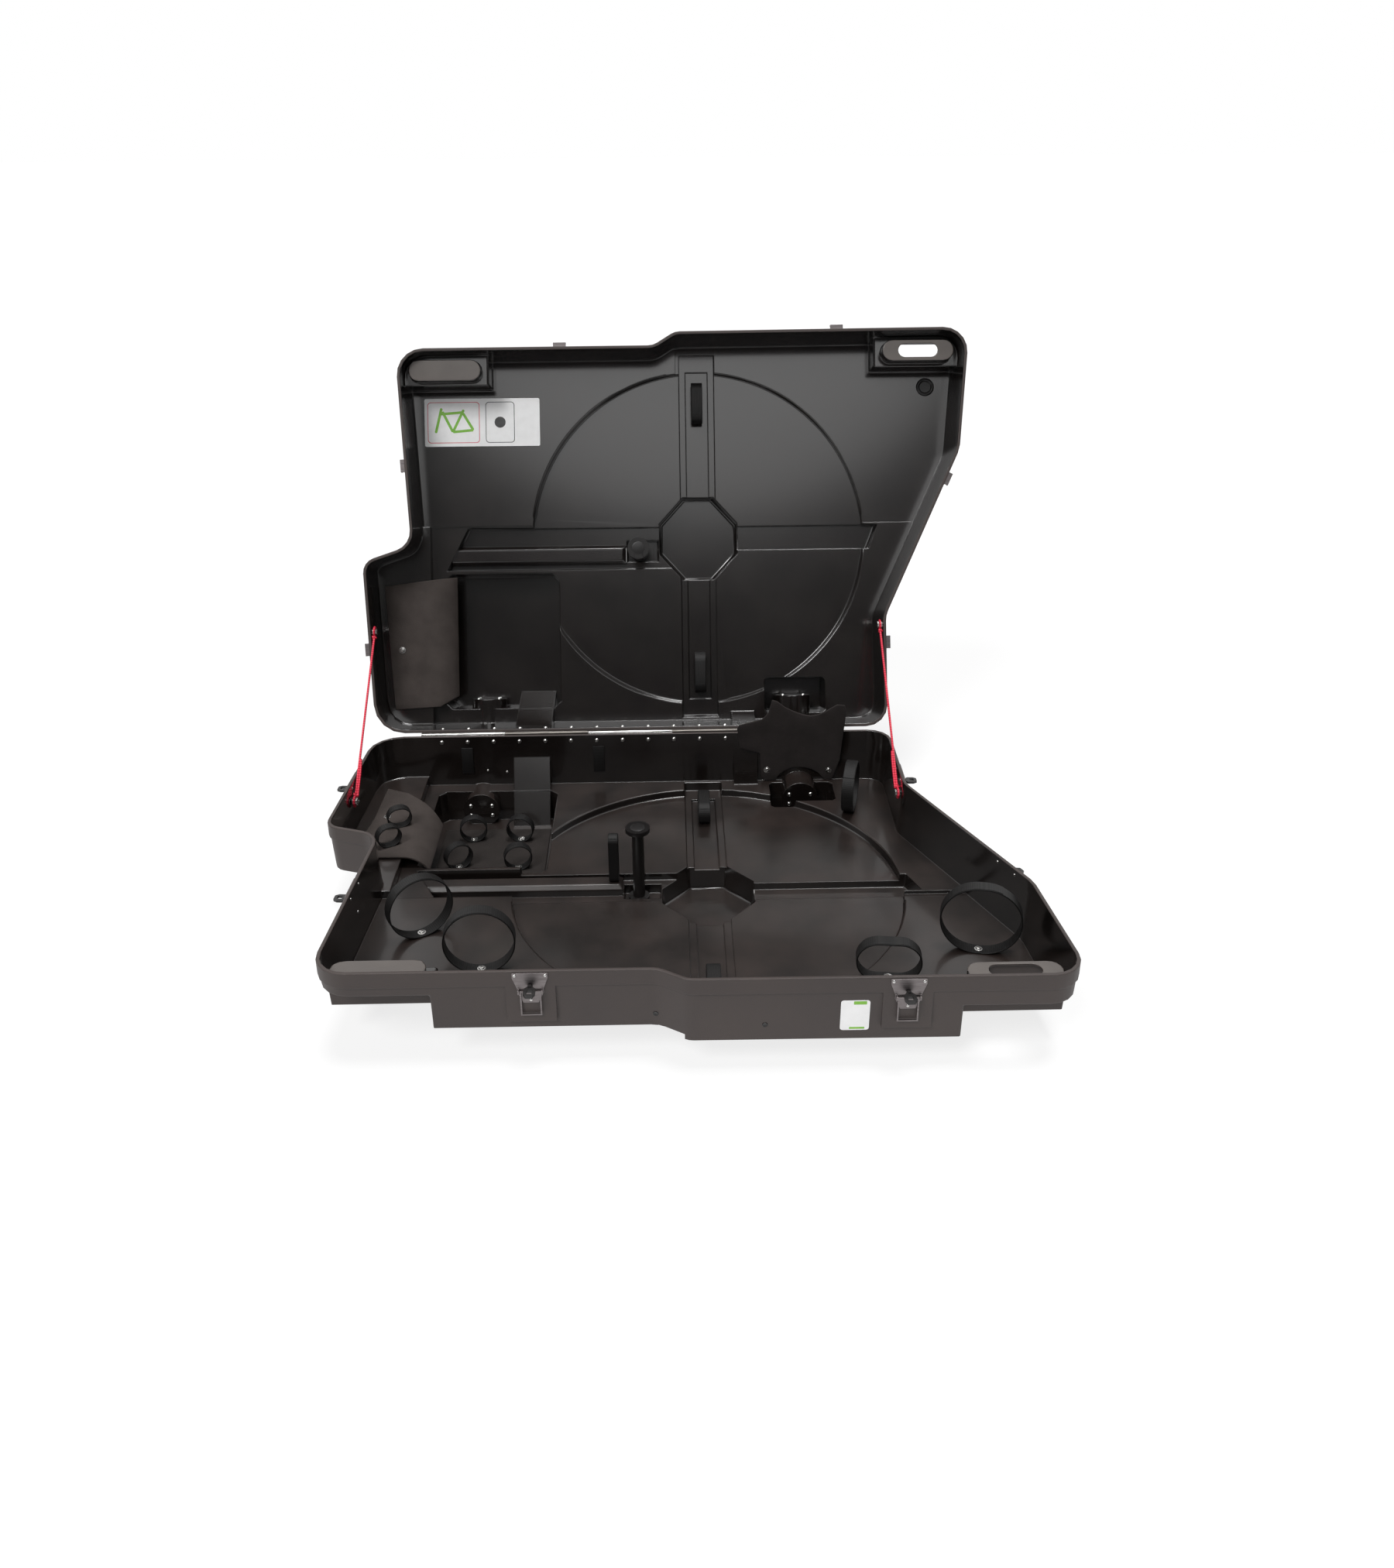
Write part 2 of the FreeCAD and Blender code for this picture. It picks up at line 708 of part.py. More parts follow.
def casters(side):
    half = HALVES[side]
    plate_top = size("caster_plate_thickness")
    race_top = plate_top + size("race_height")
    crown = race_top + size("running_gap")
    crown_top = crown + size("crown_thickness")
    trail = size("caster_trail")
    height = size("caster_axle_height")
    width = size("caster_wheel_width")
    inner = width / 2 + size("caster_side_gap")
    outer = inner + size("cheek_thickness")
    reach = size("crown_half_length")
    end = size("cheek_end_radius")
    long_half = size("caster_plate_length") / 2
    wide_half = size("caster_plate_width") / 2
    plates = []
    for name, x, depth in CUPS:
        frame = caster_frame(side, x, depth)
        plate = box(-long_half, long_half, -wide_half, wide_half, 0, plate_top)
        race = rod(size("race_radius"), size("race_height"), Vector(0, 0, plate_top), Vector(0, 0, 1))
        plates.append(moved(plate.fuse(race), frame))

        cheek_outline = Part.Face(Part.Wire(Part.makePolygon([
            Vector(-reach, inner, crown), Vector(reach, inner, crown), Vector(reach + 1, inner, crown + 14),
            Vector(trail + end, inner, height - 3), Vector(trail + end * 0.5, inner, height + end),
            Vector(trail - end * 0.5, inner, height + end), Vector(trail - end, inner, height - 3),
            Vector(-reach, inner, crown + 10), Vector(-reach, inner, crown)])))
        cheek = cheek_outline.extrude(Vector(0, size("cheek_thickness"), 0))
        other = cheek.mirror(Vector(0, 0, 0), Vector(0, 1, 0))
        top = box(-reach, reach, -outer, outer, crown, crown_top)
        fork = f"caster_fork_{half}_{name}"
        node(feature(fork, top.fuse([cheek, other]).removeSplitter()), fork, side, frame)

        bore = size("caster_axle_radius") + size("bore_clearance")
        radius = size("caster_wheel_radius")
        tread = f"caster_wheel_{half}_{name}"
        rim = [(radius * math.cos(math.radians(turn)), radius * math.sin(math.radians(turn)))
               for turn in range(0, 360, 10)]
        body, profile = body_profile(tread, "XY_Plane", polygon(rim))
        profile.addGeometry(Part.Circle(Vector(), Vector(0, 0, 1), bore), False)
        wheel = body.newObject("PartDesign::Pad", f"{tread}_pad")
        wheel.Profile = profile
        bind(wheel, "Length", "caster_wheel_width")
        spin = Placement(Vector(trail, width / 2, height), Rotation(Vector(1, 0, 0), 90))
        node(body, tread, side, frame.multiply(spin))

        axle = doc.addObject("Part::Cylinder", f"caster_axle_{half}_{name}")
        bind(axle, "Radius", "caster_axle_radius")
        bind(axle, "Height", "caster_wheel_width + 2 * caster_side_gap")
        across = Placement(Vector(trail, inner, height), Rotation(Vector(1, 0, 0), 90))
        node(axle, f"caster_axle_{half}_{name}", side, frame.multiply(across))
    node(feature(f"caster_plates_{half}", group(plates)), f"caster_plates_{half}", side)


casters(BASE)
casters(LID)


# Turn latches on the base and their keepers on the lid


def padded_shape(points, thickness):
    """A flat plate from pairs of x and y."""
    corners = [Vector(a, b, 0) for a, b in points]
    return Part.Face(Part.makePolygon(corners + corners[:1])).extrude(Vector(0, 0, thickness))


def latch_plate():
    """The wall plate: two wings for the rivets, a tapered foot and the ears of the hook."""
    thick = size("latch_plate_thickness")
    wing = size("latch_plate_width") / 2
    neck = size("latch_neck_width") / 2
    end = size("latch_foot_width") / 2
    top = -size("latch_plate_top")
    foot = top - size("latch_plate_height")
    hook_y = -size("hook_drop")
    hook_z = size("hook_height")
    ear = size("ear_inside")
    reach = size("ear_reach")
    plate = padded_shape([(-wing, top), (wing, top), (wing, top - 10), (neck, hook_y + reach), (neck, hook_y - reach),
                          (end, foot), (-end, foot), (-neck, hook_y - reach), (-neck, hook_y + reach),
                          (-wing, top - 10)], thick)
    ears = [box(a, a + size("ear_thickness"), hook_y - reach, hook_y + reach, thick, hook_z + reach)
            for a in (ear, -ear - size("ear_thickness"))]
    seat = size("hook_rod_radius") + size("bore_clearance")
    hole = box(-2 * ear, 2 * ear, hook_y - seat, hook_y + seat, hook_z - seat, hook_z + seat)
    return plate.fuse(ears).removeSplitter().cut(hole)


def latch_handle():
    """The wing that turns the latch: a round pivot, a hexagonal post and a flat eye."""
    y = -size("handle_drop")
    low = size("latch_plate_thickness") + size("running_gap")
    top = size("handle_post_top")
    post_round = size("handle_post_radius")
    half = size("handle_width") / 2
    tip = size("handle_tip")
    thick = size("handle_thickness")
    eye = size("handle_eye") / 2
    outline = [(-post_round, top - 2), (post_round, top - 2), (half, top + 4), (half, tip - 7), (half * 0.6, tip),
               (-half * 0.6, tip), (-half, tip - 7), (-half, top + 4)]
    corners = [Vector(x, y - thick / 2, z) for x, z in outline]
    wing = Part.Face(Part.makePolygon(corners + corners[:1])).extrude(Vector(0, thick, 0))
    hole = box(-eye, eye, y - thick, y + thick, tip - 6 - 2 * eye, tip - 6)
    neck = low + size("handle_pivot_height")
    hexagon = [(post_round * math.cos(math.pi * k / 3), post_round * math.sin(math.pi * k / 3)) for k in range(6)]
    post = padded_shape(hexagon, top - neck)
    post.translate(Vector(0, y, neck))
    pivot = rod(size("handle_pivot_radius"), top - low, Vector(0, y, low), Vector(0, 0, 1))
    return wing.cut(hole).fuse([post, pivot]).removeSplitter()


def latch_bail():
    """The hook: a frame that swings on round stubs in the ears."""
    y = -size("hook_drop")
    z = size("hook_height")
    bar = size("hook_bar") / 2
    span = size("hook_half_width")
    drop = size("hook_length")
    reach = size("ear_inside") + size("ear_thickness")
    frame_out = box(-span - bar, span + bar, y - drop - bar, y + bar, z - bar, z + bar)
    frame_in = box(-span + bar, span - bar, y - drop + bar, y - bar, z - 2 * bar, z + 2 * bar)
    stubs = [rod(size("hook_rod_radius"), reach - span, Vector(start, y, z), Vector(1, 0, 0))
             for start in (span, -reach)]
    return frame_out.cut(frame_in).fuse(stubs).removeSplitter()


def latches():
    plate = latch_plate()
    handle = latch_handle()
    bail = latch_bail()
    plates = []
    for name, edge, along in LATCHES:
        frame = latch_frame(BASE, edge, along)
        plates.append(moved(plate, frame))
        for label, shape in ((f"latch_handle_{name}", handle), (f"latch_bail_{name}", bail)):
            node(feature(label, shape), label, BASE, frame)
    node(feature("latch_plates", group(plates)), "latch_plates", BASE)


def keepers():
    wide = size("keeper_width") / 2
    thick = size("latch_plate_thickness")
    stem_top = -size("keeper_stem_drop")
    stem_foot = stem_top - size("keeper_stem_thickness")
    reach = size("keeper_reach")
    plate = box(-wide, wide, stem_top - size("keeper_plate_height"), stem_top, 0, thick)
    stem = box(-wide, wide, stem_foot, stem_top, thick, reach + size("keeper_lip_thickness"))
    lip = box(-wide, wide, stem_foot - size("keeper_lip_length"), stem_foot, reach,
              reach + size("keeper_lip_thickness"))
    keeper = plate.fuse([stem, lip]).removeSplitter()
    shapes = [moved(keeper, latch_frame(LID, edge, along)) for name, edge, along in LATCHES]
    node(feature("latch_keepers", group(shapes)), "latch_keepers", LID)


latches()
keepers()


# Foam sheets


def side_pad(side, points):
    """A sheet on the shelf beside the pocket, bent down over its edge."""
    name = f"{HALVES[side]}_side_pad"
    thick = size("pad_thickness")
    lower = size("pad_bend_radius")
    upper = lower + thick
    floor = size("strip_depth") - size("pad_lift")
    bend = -size("pad_bend")
    angle = math.radians(size("pad_bend_angle"))
    left = -size("bulge_reach")

    def at(radius, turn):
        return Vector(bend + radius * math.sin(turn), -(floor + lower - radius * math.cos(turn)), 0)

    profile = doc.addObject("Sketcher::SketchObject", f"{name}_profile")
    profile.addGeometry([
        Part.LineSegment(Vector(left, -floor, 0), at(lower, 0)),
        Part.Arc(at(lower, 0), at(lower, angle / 2), at(lower, angle)),
        Part.LineSegment(at(lower, angle), at(upper, angle)),
        Part.Arc(at(upper, angle), at(upper, angle / 2), at(upper, 0)),
        Part.LineSegment(at(upper, 0), Vector(left, -floor + thick, 0)),
        Part.LineSegment(Vector(left, -floor + thick, 0), Vector(left, -floor, 0)),
    ], False)
    profile.Placement = Placement(Vector(), Rotation(Vector(1, 0, 0), 90))
    bent = doc.addObject("Part::Extrusion", f"{name}_bent")
    bent.Base = profile
    bent.DirMode = "Custom"
    bent.Dir = Vector(0, side, 0)
    bent.Solid = True
    bind(bent, "LengthFwd", "step_line")
    outline = outline_sketch(f"{name}_outline", side, [(x, s, 0) for x, s in points])
    trim = prism(f"{name}_trim", outline, "rim_band", "deep_depth")
    return node(common(name, [bent, trim]), name, side)


def beside_wall(inset, s):
    """A point set in from the left wall."""
    return wall_line(0, s) + inset, s


shelf = -size("pad_bend")
side_pad(LID, [beside_wall(26.7, 342), (shelf + 60, 362), (shelf + 68, 88), (shelf + 16, 58),
               beside_wall(28.9, 52)])
side_pad(BASE, [beside_wall(37.5, 77), beside_wall(90.9, 100), (shelf + 60, 190), (shelf + 60, 364),
                beside_wall(74.1, 364), beside_wall(33.8, 294), beside_wall(40.9, 214)])

mat_left = -size("mat_left")
mat_right = -size("mat_right")
mat_near = size("mat_near")
mat_far = size("mat_far")
mat = padded("tool_mat", "XY_Plane",
             polygon([(mat_left, -mat_far), (mat_right, -mat_far), (mat_right, -mat_near), (mat_left, -mat_near)]),
             "mat_thickness")
node(mat, "tool_mat", BASE, Placement(Vector(0, 0, -size("deep_depth")), Rotation()))


# Straps


def loop_band(wide, high, band, thin, sides):
    """A standing loop of webbing: its foot at the origin, its axis along Y."""
    radius = min(wide, high) / 2 - 0.01

    def outline(inset):
        reach = (radius - inset) / math.cos(math.pi / sides)
        corners = []
        for index in range(sides):
            turn = 2 * math.pi * (index + 0.5) / sides
            a = math.copysign(wide / 2 - radius, math.cos(turn)) + reach * math.cos(turn)
            b = math.copysign(high / 2 - radius, math.sin(turn)) + reach * math.sin(turn)
            corners.append(Vector(a, 0, high / 2 + b))
        return Part.Face(Part.makePolygon(corners + corners[:1]))

    loop = outline(0).cut(outline(thin)).extrude(Vector(0, band, 0))
    loop.translate(Vector(0, -band / 2, 0))
    return loop


def standing(side, x, s, depth, turn, shape):
    """Stands a loop on the floor of a half, turned about the vertical."""
    foot = spot(side, x, s, depth - size("seat_gap"))
    return moved(shape, Placement(foot, Rotation(Vector(0, 0, 1), turn)))


thin = size("strap_thickness")
small_round = size("small_loop_diameter")
small = loop_band(small_round, small_round, size("small_loop_width"), thin, 16)
mat_top = size("deep_depth") - size("mat_thickness")
node(feature("tool_loops", group([standing(BASE, x, s, mat_top, turn, small) for x, s, turn in (
    (mat_left + 68, mat_near + 44, 8), (mat_right - 63, mat_near + 46, -6), (mat_left + 50, mat_far - 90, 30),
    (mat_right - 57, mat_far - 84, 10))])), "tool_loops", BASE)

FLOOR_LOOPS = [
    ("front_left_depth", -547, 600, 30, 125, 125),
    ("front_left_depth", -420, 714, 4, 130, 130),
    ("front_right_depth", 315, 745, -6, 118, 80),
    ("front_right_depth", 496, 668, -12, 150, 140),
    ("hinge_side_depth", 322, 152, 75, 112, 112),
]
node(feature("floor_loops", group([
    standing(BASE, x, s, size(level), turn, loop_band(wide, high, size("large_loop_width"), thin, 20))
    for level, x, s, turn, wide, high in FLOOR_LOOPS])), "floor_loops", BASE)

pad_top = size("strip_depth") - size("pad_lift") - size("pad_thickness")
tie = loop_band(52, 46, size("small_loop_width"), thin, 16)
node(feature("pad_loops", group([standing(BASE, x, s, pad_top, turn, tie) for x, s, turn in (
    (*beside_wall(104.5, 240), 20), (*beside_wall(101.3, 318), 30))])), "pad_loops", BASE)


def wheel_straps(side):
    """Two loops across the upright channel that hold the rim of a wheel, and one on the bar of the base."""
    loop = loop_band(size("wheel_strap_length"), size("wheel_strap_height"), size("wheel_strap_width"), thin, 16)
    hub = size("hub_from_hinge")
    away = size("wheel_strap_offset")
    shapes = [standing(side, 0, s, size("slot_depth"), 90, loop) for s in (hub - away, hub + away)]
    if side == BASE:
        tall = loop_band(size("bar_far") - size("bar_near") - 2 * size("bar_bevel"), size("bar_strap_height"),
                         size("bar_strap_width"), thin, 16)
        middle = (size("bar_near") + size("bar_far")) / 2
        shapes.append(standing(side, -size("bar_strap_x"), middle, size("bar_depth"), 90, tall))
    name = f"wheel_straps_{HALVES[side]}"
    return node(feature(name, group(shapes)), name, side)


wheel_straps(BASE)
wheel_straps(LID)

wall_face = size("hinge_face") + size("rim_step") + size("wall")
lean = Rotation(Vector(1, 0, 0), -size("draft"))
wide = size("wall_strap_width") / 2
hanging = box(-wide, wide, -thin, 0, -size("wall_strap_length"), 0)
node(feature("wall_straps", group([
    moved(hanging, Placement(spot(BASE, x, wall_face + size("seat_gap"), size("rim_band")), lean))
    for x in (-536, -237)])), "wall_straps", BASE)


# Guard sheet that stands at the hinge wall

GUARD = [(79, -13), (83, -23), (135, -37), (149, -53), (157, -85), (169, -81), (187, -66), (206, -56), (226, -48),
         (245, -44), (262, -47), (278, -55), (304, -71), (322, -69), (326, -57), (321, -1), (315, 69), (298, 120),
         (280, 118), (266, 102), (252, 93), (236, 88), (220, 86.5), (204, 88), (189, 95), (176, 106), (168, 120),
         (143, 120), (135, 108), (131, 49), (85, 35)]
guard = padded("frame_guard", "XZ_Plane", polygon([(x, -d) for x, d in GUARD]), "guard_thickness")
node(guard, "frame_guard", BASE, Placement(Vector(0, -size("guard_from_hinge"), 0), Rotation()))


# Anti-crush posts, one in each half, that meet when the case is shut


def post(side):
    """A foot, a column and a cap, moulded in one."""
    name = f"post_{HALVES[side]}"
    foot = size("post_foot_height")
    top = size("post_floor_depth") - size("post_top_depth")
    neck = top - size("post_cap_height")
    foot_round = size("post_foot_radius")
    column_round = size("post_column_radius")
    cap_round = size("post_cap_radius")
    piece = turned(name, [(0, 0), (foot_round, 0), (foot_round, foot), (column_round, foot), (column_round, neck),
                          (cap_round, neck), (cap_round, top), (0, top)])
    seat = spot(side, -size("post_x"), size("post_from_hinge"), size("post_floor_depth"))
    return node(piece, name, side, Placement(seat, Rotation()))


post(BASE)
post(LID)


# Lanyards that stop the lid, tied to studs on the inner walls

stud_round = size("anchor_radius")
stud_high = size("anchor_height")


def wall_seat(edge, s):
    """The x of a stud's seat on the inner face of one wall, at the rim."""
    x = wall_line(edge, s)
    slope = wall_line(edge, s + 1) - x
    inset = (size("rim_step") + size("wall")) * math.hypot(1, slope) + stud_round * abs(slope) + size("seat_gap")
    return x - math.copysign(inset, x)


ANCHORS = [("left", wall_seat(0, size("anchor_from_hinge")), 1),
           ("right", wall_seat(8, size("anchor_from_hinge")), -1)]

low_end = half_placement(BASE).multVec(spot(BASE, 0, size("anchor_from_hinge"), size("base_anchor_depth")))
high_end = half_placement(LID).multVec(spot(LID, 0, size("anchor_from_hinge"), size("lid_anchor_depth")))
line = (high_end - low_end).normalize()


def studs(side, depth):
    """Both studs of a half, set in by as much as the draft of the wall brings it in."""
    along = size("anchor_from_hinge")
    shift = max(0.0, depth + stud_round - size("rim_band")) * math.tan(math.radians(size("draft")))
    pull = half_placement(side).Rotation.inverted().multVec(line)
    facing = math.atan2(pull.z, pull.y) + math.pi / 6
    hexagon = [(stud_round * math.cos(facing + math.pi * k / 3), stud_round * math.sin(facing + math.pi * k / 3))
               for k in range(6)]
    shapes = []
    for name, x, inward in ANCHORS:
        seat = spot(side, x + inward * shift, along, depth)
        corners = [seat + Vector(0, a, b) for a, b in hexagon]
        shapes.append(Part.Face(Part.makePolygon(corners + corners[:1])).extrude(Vector(inward * stud_high, 0, 0)))
    name = f"lanyard_studs_{HALVES[side]}"
    return node(feature(name, group(shapes)), name, side)


studs(BASE, size("base_anchor_depth"))
studs(LID, size("lid_anchor_depth"))
for name, x, inward in ANCHORS:
    clear = stud_round * math.cos(math.pi / 6) + size("seat_gap")
    length = (high_end - low_end).Length - 2 * clear
    cord = feature(f"lanyard_{name}", rod(size("lanyard_radius"), length, Vector(), Vector(0, 0, 1)))
    cord.Label = f"lanyard_{name}"
    start = low_end + line * clear + Vector(x + inward * stud_high / 2, 0, 0)
    cord.Placement = Placement(start, Rotation(Vector(0, 0, 1), line))
    NODES.append(cord)


def write_parts():
    """Checks every object and writes each piece to its own file."""
    doc.recompute()
    for item in doc.Objects:
        if "Invalid" in item.State or "Error" in item.State:
            raise RuntimeError(f"{item.Name} failed: {item.State}")
    os.makedirs("parts", exist_ok=True)
    for item in NODES:
        shape = item.Shape
        if shape.isNull() or not shape.isValid():
            raise RuntimeError(f"{item.Label} has no valid shape")
        shape.exportStep(f"parts/{item.Label}.step")
        print(item.Label, len(shape.Solids), "solids", round(shape.Volume / 1000, 1), "cm3")


write_parts()
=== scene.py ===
"""Bike travel case, dressed: moulded shells, webbing, foam, hardware, labels, studio and camera."""
import math

import bmesh
import bpy
from mathutils import Matrix, Vector, noise
from mathutils.bvhtree import BVHTree
from mathutils.kdtree import KDTree


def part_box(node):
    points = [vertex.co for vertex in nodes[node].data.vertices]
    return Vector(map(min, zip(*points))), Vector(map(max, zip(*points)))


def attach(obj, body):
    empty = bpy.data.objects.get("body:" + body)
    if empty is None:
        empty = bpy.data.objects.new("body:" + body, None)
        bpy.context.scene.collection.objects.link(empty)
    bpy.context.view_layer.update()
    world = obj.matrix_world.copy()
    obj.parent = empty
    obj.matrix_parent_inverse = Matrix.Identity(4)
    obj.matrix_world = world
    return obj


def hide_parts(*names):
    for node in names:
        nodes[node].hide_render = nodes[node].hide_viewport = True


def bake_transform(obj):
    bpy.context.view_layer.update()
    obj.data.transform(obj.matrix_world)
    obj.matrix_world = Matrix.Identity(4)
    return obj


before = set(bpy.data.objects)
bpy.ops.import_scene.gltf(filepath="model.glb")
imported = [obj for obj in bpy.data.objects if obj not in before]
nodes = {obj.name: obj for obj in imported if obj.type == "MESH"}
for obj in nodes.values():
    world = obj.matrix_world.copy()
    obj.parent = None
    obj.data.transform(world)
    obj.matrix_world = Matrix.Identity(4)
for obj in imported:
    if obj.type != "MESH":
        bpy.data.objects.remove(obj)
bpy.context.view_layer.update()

# Half frames in millimetres: x along the hinge, s away from the hinge, d down from the rim
HUB_FROM_HINGE = 447
RIM_HEIGHT = 196
LID_TURN = math.radians(68.0)
SIDE = {"base": -1.0, "lid": 1.0}
HINGE = Matrix.Translation((0.0, HUB_FROM_HINGE / 1000, RIM_HEIGHT / 1000))
HALF = {"base": HINGE, "lid": HINGE @ Matrix.Rotation(LID_TURN, 4, "X")}


def at(half, x, s, d):
    """A point of a half."""
    return HALF[half] @ Vector((x / 1000, SIDE[half] * s / 1000, -d / 1000))


def way(half, x, s, d):
    """A direction of a half."""
    return (HALF[half].to_3x3() @ Vector((x, SIDE[half] * s, -d))).normalized()


def stand(half, x, s, d, turn=0.0):
    """A frame at a point of a half, Z out of its floor, turned about Z."""
    spot = Matrix.Translation((x / 1000, SIDE[half] * s / 1000, -d / 1000))
    return HALF[half] @ spot @ Matrix.Rotation(math.radians(turn), 4, "Z")


# Materials

ABS_IOR = 1.5
COAT_ROUGHNESS = 0.12
# A drawn corner catches the light over this radius, in metres
CORNER_RADIUS = 0.003


def linear(code):
    """An sRGB hex colour as linear RGBA."""
    parts = [int(code[i:i + 2], 16) / 255 for i in (1, 3, 5)]
    return [c / 12.92 if c <= 0.04045 else ((c + 0.055) / 1.055) ** 2.4 for c in parts] + [1.0]


def add(tree, kind, values=None, links=None, **settings):
    """One node with its settings, socket values and links."""
    item = tree.nodes.new(kind)
    for name, value in settings.items():
        setattr(item, name, value)
    for socket, value in (values or {}).items():
        item.inputs[socket].default_value = value
    for socket, (source, output) in (links or {}).items():
        tree.links.new(source.outputs[output], item.inputs[socket])
    return item


def material(name, **values):
    """A node material with its tree and its shader, whose sockets take the values."""
    made = bpy.data.materials.new(name)
    made.use_nodes = True
    tree = made.node_tree
    shader = tree.nodes["Principled BSDF"]
    for socket, value in values.items():
        shader.inputs[socket.replace("_", " ")].default_value = value
    return made, tree, shader


def clouds(tree, scale, detail):
    """A mask of noise over the object: at a scale of 100 its spots are 10 mm wide."""
    place = add(tree, "ShaderNodeTexCoord")
    spots = add(tree, "ShaderNodeTexNoise", {"Scale": scale, "Detail": detail}, {"Vector": (place, "Object")})
    return spots, "Fac"


def cells(tree, scale):
    """A mask of closed cells over the object: at a scale of 100 they are 10 mm wide."""
    place = add(tree, "ShaderNodeTexCoord")
    pattern = add(tree, "ShaderNodeTexVoronoi", {"Scale": scale}, {"Vector": (place, "Object")})
    return pattern, "Distance"


def ribs(tree, place, scale, distortion, direction):
    """A mask of bands across a place."""
    wave = add(tree, "ShaderNodeTexWave", {"Scale": scale, "Distortion": distortion}, {"Vector": place},
               bands_direction=direction)
    return wave, "Fac"


def tint(tree, shader, mask, low, high, dark, light):
    """Colours the shader from dark to light over a mask."""
    ramp = add(tree, "ShaderNodeValToRGB", links={"Fac": mask})
    for stop, position, colour in zip(ramp.color_ramp.elements, (low, high), (dark, light)):
        stop.position = position
        stop.color = linear(colour)
    tree.links.new(ramp.outputs["Color"], shader.inputs["Base Color"])


def gloss(tree, shader, mask, low, high):
    """Roughness between two values over a mask."""
    rough = add(tree, "ShaderNodeMapRange", {"To Min": low, "To Max": high}, {"Value": mask})
    tree.links.new(rough.outputs["Result"], shader.inputs["Roughness"])


def relief(tree, shader, mask, strength, metres):
    """A bump over a mask."""
    bump = add(tree, "ShaderNodeBump", {"Strength": strength, "Distance": metres}, {"Height": mask})
    tree.links.new(bump.outputs["Normal"], shader.inputs["Normal"])


def drawn_corners(tree, shader):
    """Rounded normals under the bump, as on the corners of a drawn sheet."""
    round_corner = add(tree, "ShaderNodeBevel", {"Radius": CORNER_RADIUS}, samples=6)
    bump = shader.inputs["Normal"].links[0].from_node
    tree.links.new(round_corner.outputs["Normal"], bump.inputs["Normal"])


def moulded_sheet(name, dark, light, shine, dull, peel_depth, coat):
    """Thermoformed ABS sheet: near black, drawn over a mould, so it is smooth with a faint wavy gloss."""
    made, tree, shader = material(name, IOR=ABS_IOR, Coat_Weight=coat, Coat_Roughness=COAT_ROUGHNESS)
    # clouds 90 mm wide, where the sheet stretched more or less
    cloud = clouds(tree, 11.0, 4.0)
    tint(tree, shader, cloud, 0.35, 0.7, dark, light)
    gloss(tree, shader, cloud, shine, dull)
    # 3 mm orange peel, the finest that shows
    relief(tree, shader, clouds(tree, 330.0, 2.0), peel_depth, 0.0004)
    drawn_corners(tree, shader)
    return made


def grained_sheet():
    """Thermoformed ABS, the outside: dark warm grey with a fine hair-cell grain and paler rubbed clouds."""
    made, tree, shader = material("thermoformed_abs_grain", IOR=ABS_IOR)
    cloud = clouds(tree, 7.0, 4.0)
    tint(tree, shader, cloud, 0.3, 0.75, "#3a3230", "#443b38")
    gloss(tree, shader, cloud, 0.46, 0.6)
    # hair-cell grain drawn at 2.5 mm, coarser than the real 1 mm so that it shows
    relief(tree, shader, cells(tree, 400.0), 0.16, 0.0004)
    drawn_corners(tree, shader)
    return made


def plated_steel(name, dark, light, shine, dull):
    """Zinc plate on stamped steel: metal with fine rolling scratches along X."""
    made, tree, shader = material(name, Metallic=1.0)
    place = add(tree, "ShaderNodeTexCoord")
    # scratches 25 mm long and 1 mm wide
    stretch = add(tree, "ShaderNodeMapping", {"Scale": (40.0, 900.0, 900.0)}, {"Vector": (place, "Object")})
    scratch = add(tree, "ShaderNodeTexNoise", {"Scale": 1.0, "Detail": 3.0}, {"Vector": (stretch, "Vector")})
    tint(tree, shader, (scratch, "Fac"), 0.3, 0.7, dark, light)
    gloss(tree, shader, (scratch, "Fac"), shine, dull)
    return made


def painted_steel():
    """Black powder coat on steel: satin black with a fine orange peel."""
    made, tree, shader = material("black_powder_coat", Roughness=0.36)
    peel = clouds(tree, 600.0, 2.0)
    tint(tree, shader, peel, 0.3, 0.7, "#161515", "#242222")
    relief(tree, shader, peel, 0.2, 0.0002)
    return made


def tread_rubber():
    """Moulded polyurethane tread: dark grey, dull, slightly scuffed."""
    made, tree, shader = material("caster_polyurethane")
    scuff = clouds(tree, 160.0, 5.0)
    tint(tree, shader, scuff, 0.35, 0.75, "#1a1a1b", "#343335")
    gloss(tree, shader, scuff, 0.5, 0.75)
    return made


def foam_sheet(name, dark, light):
    """Cross-linked polyethylene foam: matte warm charcoal with closed cells about a millimetre wide."""
    made, tree, shader = material(name, Roughness=0.85, Specular_IOR_Level=0.3)
    tint(tree, shader, clouds(tree, 22.0, 4.0), 0.3, 0.75, dark, light)
    # cells drawn at 2.5 mm so that they show
    relief(tree, shader, cells(tree, 400.0), 0.5, 0.0006)
    return made


def woven_webbing():
    """Woven nylon webbing: black, low sheen, ribs 4 mm apart across the band and 2.5 mm threads along it."""
    made, tree, shader = material("nylon_webbing", Roughness=0.6, Specular_IOR_Level=0.35)
    place = (add(tree, "ShaderNodeUVMap"), "UV")
    along = ribs(tree, place, 80.0, 0.4, "X")
    across = ribs(tree, place, 120.0, 0.3, "Y")
    weave = add(tree, "ShaderNodeMath", {}, {0: along, 1: across}, operation="MULTIPLY")
    tint(tree, shader, (weave, "Value"), 0.1, 0.8, "#080707", "#191716")
    relief(tree, shader, (weave, "Value"), 0.5, 0.0005)
    return made


